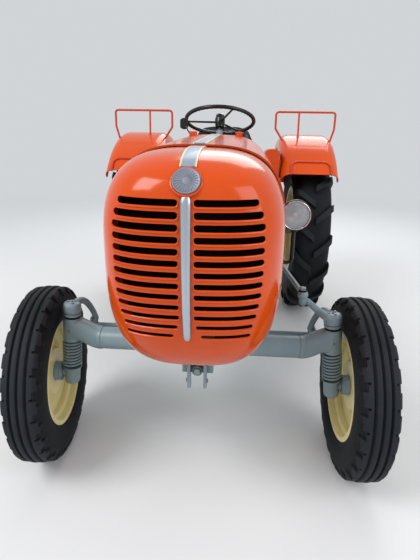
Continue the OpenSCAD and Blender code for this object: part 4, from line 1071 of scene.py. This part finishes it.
def build_steering_levers():
    """Forged levers from the caps, and the ball joint of the drag link."""
    top = FT_R + 246 + 45
    cx = KP - LEAN * (top - FT_R)

    def lever(name, side, path, r0, thin, rate):
        """Tapering bar along a path given with the wheels straight, turned to rest."""
        m = pin_frame(side) @ pin_frame(side, turned=False).inverted()
        k = len(path)
        g = Geo().tube([m @ mm(*p) for p in path],
                       [(r0 - thin * min(1, rate * i)) * MM for i in range(k)], 20)
        g.make(name, "grey", BODY["knuckle_" + side], 60)

    turn = math.radians(70)
    ex, ey = KP - LEAN * (700 - FT_R) - 115 * math.sin(turn), 115 * math.cos(turn)
    path = curve([(cx + 4, -14, top - 2), (cx - 22, -17, top + 4), (ex + 58, ey - 24, 664),
                  (ex + 36, ey - 13, 681), (ex + 16, ey - 3, 695), (ex, ey, 699)])
    lever("drag_lever", "left", path, 17, 5, 1.6 / len(path))
    for s, side in SIDES:
        u = (-s * math.sin(math.radians(20)), math.cos(math.radians(20)))
        path = curve([(s * cx + u[0] * d, u[1] * d, top + z) for d, z in
                      ((0, 0), (46, 6), (88, -12), (124, -54), (150, -103), (157, -121))])
        lever("tie_lever_" + side, side, path[3:-1], 15, 3.6, 1.5 / len(path))
    # ball joint: nut and lower end on the lever, body on the link, pleated boot between them
    m = pin_frame("left") @ pin_frame("left", turned=False).inverted()
    m = (Matrix.Translation(m @ mm(ex, ey, 700)) @ Matrix.Rotation(math.radians(-4.375), 4, "X")
         @ Matrix.Rotation(math.radians(-5.074), 4, "Y"))
    g = Geo()
    g.ring([(8.2, 41), (10, 41), (12.4, 43), (12.4, 48), (10, 51), (0.01, 52), (0.01, 41)], m, 6)
    g.lathe([(0, -24), (7, -23.5), (11, -20), (14.5, -14), (16.6, -12), (16.6, -9), (0, -9)],
            m, 40)
    g.make("drag_joint_ends", "grey", BODY["knuckle_left"], 35)
    g = Geo()
    g.ring([(15.6, 9.2), (18.4, 10.4), (19.6, 14), (20, 20), (19.2, 26), (17.6, 30),
            (15.6, 31.6)], m, 48)
    g.make("drag_joint_body", "grey", "drag_link", 60)
    g = Geo()
    g.ring([(15.8, 32.4), (17, 33.4), (15, 35), (16.4, 36.6), (12, 38.6), (10, 36), (10, 32.4)],
           m, 40)
    g.make("drag_joint_boot", "rubber", BODY["knuckle_left"], 60)


# lamps
# headlamps: middle of the glass; the bracket's post stands behind it
LAMP_X, LAMP_Y, LAMP_Z, POST_Y = 377, 290, 982, 330


def build_headlamps():
    """Rings, bowls, glasses and bulbs, painted shells, and bent brackets with their bolts."""
    ring, bowl, lens, bulb, case, dark, bolts = (Geo() for _ in range(7))
    for s in (-1, 1):
        x = s * LAMP_X
        m = at(mm(x, LAMP_Y, LAMP_Z), (0, 1, 0))
        ring.ring([(57.4, 3), (57.4, -2), (58.4, -4.2), (60, -5), (61.6, -4.2), (62.2, -2),
                   (62.2, 10), (61, 10), (60.4, 3)], m, 96)
        bowl.ring([(56.4, 7), (52, 19), (44, 30.4), (30, 41.6), (16, 48), (0.01, 50),
                   (0.01, 48.6), (15.4, 46.6), (29, 40.4), (42.6, 29.4), (50.4, 18.6),
                   (54.6, 7)], m, 72)
        lens.ring([(0.01, -6), (20, -5.3), (40, -2.6), (54, 1.2), (56.4, 2.4), (56.4, 5),
                   (53, 4.4), (40, 0.6), (20, -2.2), (0.01, -3)], m, 72)
        bulb.lathe([(0, 16), (5, 17), (8.5, 21), (9.5, 26), (8, 32), (5.5, 37), (5.5, 48),
                    (0, 48)], m, 32)
        case.ring([(0.01, 96), (18, 95), (36, 88), (50, 74), (59, 54), (62, 24), (65, 14),
                   (65, 8), (63, 8), (60, 24), (57, 53), (48.5, 72), (35, 86), (17, 93),
                   (0.01, 94)], m, 72)
        dark.ring([(62.2, -1.4), (65.6, -1.4), (66.4, 1), (66.4, 9), (65.2, 10), (62.2, 10)],
                  m, 72)
        dark.tube([mm(x, POST_Y, 925), mm(x, POST_Y, 782), mm(x - s * 5, POST_Y, 769),
                   mm(x - s * 17, POST_Y, 765), mm(s * 190.5, POST_Y, 765)], 0.009, 20)
        bolts.bolt(mm(x, LAMP_Y - 1.5, LAMP_Z - 68.5), (0, -1, 0), 0.0038, 0.004, washer=False)
        bolts.lathe([(0, 0), (15, 0), (15, 14), (12, 18), (0, 18)],
                    at(mm(x, POST_Y, LAMP_Z - 76)), 32)
        bolts.bolt(mm(s * 197, POST_Y, 765), (s, 0, 0), 0.012, 0.009)
    ring.make("lamp_rings", "chrome", "chassis", 50)
    ob = case.make("lamp_shells", "orange", "chassis", 60)
    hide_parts("headlamp_left", "headlamp_right")
    dark.make("lamp_brackets", "black", "chassis", 50)
    bowl.make("lamp_reflectors", "silver", "chassis", 60)
    bulb.make("lamp_bulbs", "frosted", "chassis", 60)
    ob = lens.make("lamp_lenses", "glass", "chassis", 60)
    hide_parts("lamp_glasses")
    bolts.make("lamp_fittings", "black", "chassis", 40)


def build_rear_lamps():
    """Bases and rims of the rear lamps, standing square on the fenders."""
    base, rim = Geo(), Geo()
    for s in (-1, 1):
        m = (Matrix.Translation(mm(s * 582.25, WB, REAR_Z))
             @ Matrix.Rotation(math.radians(-30), 4, "X") @ Matrix.Translation((0, 0, 0.7042)))
        base.ring([(29.6, 0.2), (34, 0.2), (34, 6), (32.6, 8), (30.4, 8)], m, 48)
        rim.ring([(30.2, 20), (31.6, 20), (31.6, 25.6), (24.8, 31.4), (24, 30.3), (30.2, 24.4)],
                 m, 48)
    base.make("rear_lamp_bases", "black", "chassis", 40)
    rim.make("rear_lamp_rims", "chrome", "chassis", 40)


# fenders, rails and driver's place
# fenders: radius of the sheet's middle about the wheel, inner and outer edge
FEN_R, FEN_X0, FEN_X1 = 704.0, 396.0, 768.5


def fender_point(s, x, r, a):
    """Point at radius r and angle a (degrees) about the rear wheels' axis."""
    return mm(s * x, WB + r * math.cos(math.radians(a)), REAR_Z + r * math.sin(math.radians(a)))


def fender_section(r):
    """The sheet's section as (radius, x): flat on top, bent down at both edges with radius r."""
    return ([(618, 468 - r)] + arc(632, 468, r, range(270, 361, 10))
            + arc(632, 696.5, r, range(0, 91, 10)) + [(622, 696.5 + r)])


def build_fenders():
    """Sheet bent over the wheel, its side panel, and the rod hoop over its front edge."""
    prof = fender_section(72) + fender_section(68)[::-1]
    q, n = len(prof), 115
    ends = [(base + j, base + j + 1, base + q - 2 - j, base + q - 1 - j)
            for base in (0, (n - 1) * q) for j in range(q // 2 - 1)]
    plate = arc(WB, REAR_Z, 633, [25.5 + 113 * i / 60 for i in range(61)])
    plate += [(WB - 545, 600), (WB - 330, 600), (WB - 250, 800), (WB + 420, 840)]
    # hoop: across (x) and along the fender (angle), its corners bent to a radius of 45 mm
    r, bent = FEN_R + 4, 45
    per = math.degrees(1 / r)
    x0, x1, top, low = FEN_X0 + 62, FEN_X1 - 58, 131.0, 139.6
    half = (top + low) / 2 + 1.5
    quarter = [math.pi / 2 * i / 8 for i in range(9)]
    hoop = [(x0, low), (x0, half)]
    hoop += [(x0 + bent - bent * math.cos(t), top + (bent - bent * math.sin(t)) * per)
             for t in quarter]
    hoop += [(x1 - bent + bent * math.sin(t), top + (bent - bent * math.cos(t)) * per)
             for t in quarter]
    hoop += [(x1, half), (x1, low)]
    for s, side in SIDES:
        g = Geo()
        g.add([fender_point(s, x, rr, 25 + 114 * i / (n - 1)) for i in range(n) for rr, x in prof],
              quads(n, q) + ends)
        g.prism(flat(plate), s * 3 * MM, side_plane(s * 396.5))
        ob = g.make("fender_sheet_" + side, "orange", "chassis", 40)
        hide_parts("fender_" + side)
        g = Geo().tube([fender_point(s, x, r, a) for x, a in hoop], 0.0062, 14)
        g.make("fender_hoop_" + side, "rail", "chassis", 60)


def rounded(pts, r, n=6):
    """Path through the points with its corners bent to radius r (millimetres)."""
    pts = [Vector(p) for p in pts]
    out = [pts[0]]
    for a, b, c in zip(pts, pts[1:], pts[2:]):
        u, v = (a - b).normalized(), (c - b).normalized()
        half = u.angle(v) / 2
        cut = min(r * MM / math.tan(half), (a - b).length * 0.49, (c - b).length * 0.49)
        p, q = b + u * cut, b + v * cut
        mid = b + (u + v).normalized() * (cut / math.cos(half))
        rad = cut * math.tan(half)
        for k in range(n + 1):
            d = (p - mid).lerp(q - mid, k / n).normalized()
            out.append(mid + d * rad)
    return out + [pts[-1]]


def build_rails():
    """Grab rails of bent bar, with a flanged foot at the middle post."""
    back = 154
    plane, top = WB - back, 1469 - 7.0
    z0 = REAR_Z + math.sqrt(FEN_R ** 2 - back ** 2)
    x0, x1 = FEN_X0, FEN_X1
    bar = [(x0 + 24, z0 - 26), (x0 - 30, z0 + 54), (x0 - 30, top), (x1 + 4, top),
           (x1 + 4, z0 + 54), (x1 - 19, z0 - 30)]
    for s, side in SIDES:
        g = Geo().tube(rounded([mm(s * x, plane, z) for x, z in bar], 20), 0.0072, 20)
        g.tube([mm(s * (x0 + 130), plane, z0 - 5), mm(s * (x0 + 128), plane, top)], 0.0064, 20)
        g.lathe([(0, -3), (12, -2), (12, 1.5), (8.5, 4), (0, 4)],
                at(mm(s * (x0 + 130), plane, z0), (0, -back, z0 - REAR_Z)), 28)
        ob = g.make("rail_bar_" + side, "rail", "chassis", 60)
        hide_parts("rail_" + side)


def build_engine_covers():
    """Inspection covers and the sump's flange on the sides of the engine, with bolts."""
    z, end = 635, COWL_Y0 - 21.4
    cover = []
    for y, h, a in ((72, 46, 0), (-72, 46, 90), (-72, -46, 180), (72, -46, 270)):
        cover += arc(y, h, 16, range(a, a + 91, 15))
    g = Geo()
    for s in (-1, 1):
        for y in (330, 560, 790):
            g.prism(flat(cover), s * 0.0055, side_plane(s * 189.5, y, z))
            for dy in (-74, 0, 74):
                for dz in (-48, 48):
                    g.bolt(mm(s * 195, y + dy, z + dz), (s, 0, 0), 0.0065, 0.005)
        g.box(mm(s * 192 - 4, 201, 524), mm(s * 192 + 4, end - 1, 538))
        for k in range(10):
            g.bolt(mm(s * 190, 240 + (end - 280) * k / 9, 505), (s, 0, 0), 0.0065, 0.005)
    g.make("engine_covers", "grey", "chassis", 35)


def build_fender_edges():
    """Wire rolled into the fenders' edges, and the bolts of the inner panels."""
    a0, a1 = 25.4, 138.6
    section = fender_section(70)[::-1]
    for s, side in SIDES:
        g = Geo()
        for a in (a0, a1):
            g.tube([fender_point(s, x, r, a) for r, x in section], 0.0042)
        g.tube([fender_point(s, 766.3, 622, a0 + (a1 - a0) * i / 60) for i in range(61)], 0.0042)
        g.make("fender_wire_" + side, "orange", "chassis", 60)
        g = Geo()
        for a in (60, 90, 120):
            for r in (560, 600):
                g.bolt(fender_point(s, 399.6, r, a), (s, 0, 0), 0.0075, 0.006)
                g.bolt(fender_point(s, 396.4, r, a), (-s, 0, 0), 0.0075, 0.006)
        g.make("fender_bolts_" + side, "orange", "chassis", 30)


def build_toolbox():
    """The lid's lower lip with its hinges, and the wire catch."""
    x0, x1, y0, y1, z1 = 288.0, 384.0, 1560.0, 1740.0, 1222.0
    low, high = z1 - 40, z1 - 34
    g = Geo()
    for y in (y0 - 1.2, y1 - 0.8):
        g.box(mm(x0 - 1.5, y, low), mm(x1 + 1.5, y + 2, high))
    g.box(mm(x0 - 1.8, y0 - 1, low), mm(x0, y1 + 1, high))
    g.box(mm(x1, y0 - 1, low), mm(x1 + 1.8, y1 + 1, high))
    for y in (y0 + 35, y1 - 35):
        g.lathe([(0, -14), (3.4, -14), (3.4, 14), (0, 14)],
                at(mm(x1 + 3, y, z1 - 37), (0, 1, 0)), 16)
    g.make("toolbox_lip", "orange", "chassis", 40, 0.0004)
    y = (y0 + y1) / 2
    g = Geo()
    g.box(mm(x0 - 4.4, y - 9, z1 - 62), mm(x0 - 1, y + 9, z1 - 26))
    g.tube([mm(x0 - 5, y - 7, z1 - 40), mm(x0 - 8, y - 7, z1 - 52), mm(x0 - 8, y + 7, z1 - 52),
            mm(x0 - 5, y + 7, z1 - 40)], 0.0016, 10, closed=True)
    g.make("toolbox_catch", "steel", "chassis", 40, 0.0003)


def build_mirror():
    """Looking glass (a disc with both sides cut straight), its rim and its foot."""
    m = at(mm(-197, COWL_Y1 + 67, CROWN + 58), (0, 1, 0))
    r, side = 27.5, 19.8
    pts = [(max(min(r * math.cos(t), side), -side) * MM, r * math.sin(t) * MM)
           for t in (2 * math.pi * i / 72 for i in range(72))]
    Geo().prism(pts, 0.0012, m).make("mirror_glass", "mirror", "chassis")
    g = Geo().tube([m @ Vector((x * 1.07, y * 1.06, 0.0004)) for x, y in pts], 0.0016, 8,
                   closed=True)
    g.make("mirror_rim", "phenolic", "chassis", 60)
    g = Geo().lathe([(0, 0), (9, 0), (9, 3), (6, 6), (6, 14), (0, 14)],
                    at(mm(-141, COWL_Y1 - 30, CROWN - 8), (-0.4, 0.5, 0.8)), 24)
    g.make("mirror_foot", "steel", "chassis", 40)


def build_steering():
    """The steering wheel's middle cap with its ring, and the finger grips under its rim."""
    m = (Matrix.Translation(mm(0, COWL_Y1 + 202.6, 1382))
         @ Matrix.Rotation(math.radians(-19.8), 4, "X"))
    g = Geo().lathe([(0, 43), (10, 42.6), (18, 40), (21, 37), (21.6, 33.5), (20, 32), (0, 32)], m)
    g.make("wheel_cap", "phenolic", "steering_wheel", 45)
    g = Geo().ring([(22, 30.8), (24.6, 31.4), (25.4, 33.4), (24, 35), (21.8, 34.4)], m)
    g.make("wheel_cap_ring", "chrome", "steering_wheel", 60)
    g, grips = Geo(), 48
    for k in range(grips):
        a = 2 * math.pi * (k + 0.5) / grips
        out = Vector((math.cos(a), math.sin(a), 0))
        turn = [math.radians(180 + 180 * j / 8) for j in range(9)]
        pts = [m @ (out * 200.5 * MM
                    + (out * math.cos(b) + Vector((0, 0, 1)) * math.sin(b)) * 0.0106)
               for b in turn]
        g.tube(pts, [0.0008] + [0.0022] * 7 + [0.0008], 6)
    g.make("wheel_grips", "phenolic", "steering_wheel", 60)


def build_levers():
    """Pleated rubber boot at the gear lever's foot, and the lever's knob."""
    y = 1320.0
    prof = [(0, 2)]
    for k in range(5):
        r, h = 31 - 4.4 * k, 2 + 5.2 * k
        prof += [(r, 9 + h), (r + 2.6, 11.6 + h), (r - 1, 13.6 + h)]
    g = Geo().lathe(prof + [(8.8, 39), (0, 39)], at(mm(0, y, 776)), 40)
    g.make("lever_boot", "rubber", "chassis", 60)
    g = Geo().lathe([(0, -22), (9, -22), (12, -14), (20.4, 0), (19.4, 9), (14, 17), (6, 20.6),
                     (0, 21)], at(mm(26, y + 80, 1113), (26, 80, 318)), 40)
    g.make("lever_knob", "phenolic", "chassis", 60)


def build_rear_details():
    """Splines of the drive shaft, its flange, and the bolts of the rear housing."""
    back, shaft_z = WB + 170, 690
    m = at(mm(0, back, shaft_z), (0, 1, 0))
    g = Geo()
    for k in range(6):
        g.box((-0.0042, 0.0158, 0.018), (0.0042, 0.0178, 0.0885),
              m @ Matrix.Rotation(2 * math.pi * k / 6, 4, "Z"))
    g.make("pto_splines", "steel", "chassis", 30, 0.0004)
    g = Geo().ring([(21, 0.2), (44, 0.2), (44, 8), (40, 11), (25, 11), (21, 8)], m, 48)
    g.bolt_ring(m, 4, 0.036, 0.0106, math.pi / 4, 0.0065, 0.0045, washer=False)
    g.box(mm(-95, back - 0.5, 585), mm(95, back + 6, 610))
    for y, xs, zs in ((back, (-130, -70, 70, 130), (480, 760)),
                      (back + 24, (-60, 60), (455, 585))):
        for x in xs:
            for z in zs:
                g.bolt(mm(x, y, z), (0, 1, 0), 0.010, 0.008)
    g.make("rear_bolts", "grey", "chassis", 30)


def build_seat_pad(name, verts, faces, node, cap, fill):
    """Padded cover: an even mesh of 7 mm, blown up as cloth by at most cap metres, smoothed."""
    ob = Geo().add(verts, faces).make(name, "vinyl", None, 180)
    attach(ob, "chassis")
    voxels = ob.modifiers.new("voxels", "REMESH")
    voxels.mode = "VOXEL"
    voxels.voxel_size = 0.007
    me = applied(ob)
    rest = [v.co.copy() for v in me.vertices]
    cloth = ob.modifiers.new("fabric", "CLOTH")
    cloth.settings.use_pressure = True
    cloth.settings.uniform_pressure_force = 4.0
    cloth.settings.effector_weights.gravity = 0
    cloth.settings.tension_stiffness = 12
    cloth.settings.bending_stiffness = 0.6
    cloth.point_cache.frame_start = 1
    cloth.point_cache.frame_end = 20
    for f in range(1, 21):
        bpy.context.scene.frame_set(f)
    for v, p in zip(applied(ob).vertices, rest):
        d = v.co - p
        if d.length > cap:
            v.co = p + d * (cap / d.length)
    bpy.context.scene.frame_set(1)
    smooth = ob.modifiers.new("smooth", "SUBSURF")
    smooth.levels = smooth.render_levels = 1
    me = applied(ob)
    if not me.materials:
        me.materials.append(MAT["vinyl"])
    me.shade_smooth()
    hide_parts(node)
    return ob


# the seat's axis, its base's height and the back's outer radius
SEAT_Y, SEAT_Z, SEAT_R = 1620.0, 985.0, 266.0


def back_top(a):
    """Height of the seat's back at an angle from straight back (degrees): the lower of its
    outline seen from behind and of its arms seen from the side."""
    x = SEAT_R * math.sin(math.radians(abs(a)))
    y = SEAT_R * math.cos(math.radians(a))
    outline = [(0, 396), (110, 394), (170, 380), (220, 344), (250, 292), (266, 240)]
    arm = [(-60, 0), (30, 14), (46, 112), (90, 202), (150, 302), (190, 396), (300, 420)]

    def height(line, v):
        """Height of a line of (place, height) points at v."""
        for (p, q), (r, w) in zip(line, line[1:]):
            if v <= r:
                return q + (w - q) * (v - p) / (r - p)
        return line[-1][1]
    return min(height(outline, x), height(arm, y))


def soft_top(a):
    """That height with its corners evened out over 16 degrees."""
    return sum(back_top(a + k) for k in range(-8, 9, 2)) / 9


def seam_on(ob, turn, pick):
    """Line on a pad: at each angle about the seat's axis, the point for which
    pick(radius, height) is greatest; pick gives None where the seam can't run."""
    best = {}
    step = turn[1] - turn[0]
    for v in ob.data.vertices:
        x, y = v.co.x, v.co.y - (SEAT_Y * MM + YF)
        k = round(math.degrees(math.atan2(x, y)) / step) * step
        score = pick(math.hypot(x, y) / MM, v.co.z / MM - SEAT_Z)
        if k in turn and score is not None and (k not in best or score > best[k][0]):
            best[k] = (score, v.co.copy())
    return [best[k][1] for k in turn if k in best]


def build_seats():
    """Back that wraps round the driver, cushion, and the piping sewn into their edges."""
    turn = [-78 + 156 * j / 60 for j in range(61)]
    skin = []
    for r in (SEAT_R - 8, SEAT_R - 36):
        skin.append([[mm(r * math.sin(math.radians(a)), SEAT_Y + r * math.cos(math.radians(a)),
                         SEAT_Z + 8 + (max(soft_top(a) - 9, 26) - 8) * i / 14)
                      for a in turn] for i in range(15)])
    back = build_seat_pad("seat_back_pad", *walls(*skin), "seat_back", 0.010, 0.75)
    # cushion: front edge straight, rear round
    r, n = SEAT_R - 62, 64
    plan = [(max(min(r * math.cos(t), 186), -186), max(r * math.sin(t), -158))
            for t in (2 * math.pi * i / n for i in range(n))]
    verts = [mm(x * k, SEAT_Y + y * k, SEAT_Z + z)
             for z, k in ((10, 0.985), (24, 1.0), (58, 1.0), (68, 0.985)) for x, y in plan]
    cushion = build_seat_pad("seat_cushion_pad", verts, quads(4, n) + caps(4, n),
                             "seat_cushion", 0.014, 0.8)
    g, thick = Geo(), 0.0032
    for z in (24, 54):
        line = seam_on(cushion, range(-180, 180, 4),
                       lambda r, h, z=z: r if abs(h - z) < 7 else None)
        level = sum(p.z for p in line) / len(line)
        line = [(p.x, p.y, level) for p in line + line[:1]]
        g.tube(curve(line, 2)[:-1], thick, 8, closed=True)
    mid = SEAT_R - 22
    for r0, r1 in ((mid + 5, mid + 13), (mid - 13, mid - 5)):
        line = seam_on(back, range(-72, 73, 4),
                       lambda r, h, r0=r0, r1=r1: h if r0 < r < r1 else None)
        g.tube(curve([tuple(p) for p in line], 3), thick, 8)
    g.make("seat_piping", "piping", "chassis", 60)


# camera, floor and light
def build_camera():
    """The photograph's viewpoint, from a fit to the wheels and the nose."""
    place, lens = (0.1403, -2.5391, 1.2928), 27.317
    yaw, pitch, roll = (math.radians(a) for a in (-3.893, -18.662, 0.967))
    fwd = Vector((math.sin(yaw) * math.cos(pitch), math.cos(yaw) * math.cos(pitch),
                  math.sin(pitch)))
    level = Vector((math.cos(yaw), -math.sin(yaw), 0))
    over = level.cross(fwd)
    right = level * math.cos(roll) + over * math.sin(roll)
    up = over * math.cos(roll) - level * math.sin(roll)
    cam = bpy.data.cameras.new("photo_camera")
    cam.lens = lens
    cam.clip_end = 60
    ob = bpy.data.objects.new("photo_camera", cam)
    bpy.context.collection.objects.link(ob)
    ob.matrix_world = Matrix(((right.x, up.x, -fwd.x, place[0]), (right.y, up.y, -fwd.y, place[1]),
                              (right.z, up.z, -fwd.z, place[2]), (0, 0, 0, 1)))
    bpy.context.scene.camera = ob


# the studio's pale surround, and how bright it stands
BACKDROP, BACKDROP_POWER = linear("#EEF1F4"), 0.75


def floor_material():
    """Matt studio floor: takes the shadow near the tractor, and between 3 m and 9 m it
    turns into the backdrop's own tone, so that no horizon shows."""
    m, t = new_mat("pale_floor")
    near = add(t, "ShaderNodeBsdfPrincipled", {"Base Color": linear("#D9DADB"),
                                               "Roughness": 0.8})
    far = add(t, "ShaderNodeEmission", {"Color": BACKDROP, "Strength": BACKDROP_POWER})
    place = add(t, "ShaderNodeNewGeometry").outputs["Position"]
    away = add(t, "ShaderNodeVectorMath", {0: place}, operation="LENGTH")
    fade = add(t, "ShaderNodeMapRange", {"Value": away.outputs["Value"], "From Min": 3.0,
                                         "From Max": 9.0}, interpolation_type="SMOOTHSTEP")
    ray = add(t, "ShaderNodeLightPath").outputs
    seen = add(t, "ShaderNodeMath", {0: ray["Is Camera Ray"], 1: ray["Is Glossy Ray"]},
               operation="MAXIMUM")
    seen = add(t, "ShaderNodeMath", {0: seen.outputs[0], 1: ray["Is Transmission Ray"]},
               operation="MAXIMUM")
    part = add(t, "ShaderNodeMath", {0: fade.outputs[0], 1: seen.outputs[0]},
               operation="MULTIPLY")
    mix = add(t, "ShaderNodeMixShader", {"Fac": part.outputs[0], 1: near.outputs[0],
                                         2: far.outputs[0]})
    return finish_mat(m, t, mix)


def build_stage():
    """Floor, three soft lamps aimed at the tractor, and the pale surround."""
    bpy.ops.mesh.primitive_plane_add(size=80, location=(0, 4, 0))
    floor = bpy.context.object
    floor.name = "floor"
    set_mat(floor, floor_material())
    aim = Vector((0, 0, 0.7))
    for name, place, size, power in [("key", (-3.5, -3.5, 5.0), 3.0, 260),
                                     ("fill", (4.5, -3.0, 3.2), 3.5, 130),
                                     ("back", (1.0, 5.0, 5.0), 4.0, 160)]:
        lamp = bpy.data.lights.new(name, "AREA")
        lamp.size = size
        lamp.energy = power
        ob = bpy.data.objects.new(name, lamp)
        bpy.context.collection.objects.link(ob)
        ob.location = place
        ob.rotation_euler = (aim - Vector(place)).to_track_quat("-Z", "Y").to_euler()
    scene = bpy.context.scene
    scene.world = bpy.data.worlds.new("studio")
    scene.world.use_nodes = True
    surround = scene.world.node_tree.nodes["Background"]
    surround.inputs[0].default_value = BACKDROP
    surround.inputs[1].default_value = BACKDROP_POWER
    scene.view_settings.view_transform = "Standard"


for build in (build_camera, build_stage, build_nose, build_nose_bar, build_emblem,
              build_nose_strip, build_hood, build_hood_strip, build_cowl, build_dash,
              build_tyres, build_wheel_fittings, build_springs, build_front_axle,
              build_axle_fittings, build_steering_levers, build_headlamps, build_rear_lamps,
              build_fenders, build_rails, build_engine_covers, build_fender_edges,
              build_toolbox, build_mirror, build_steering, build_levers, build_rear_details,
              build_seats):
    build()
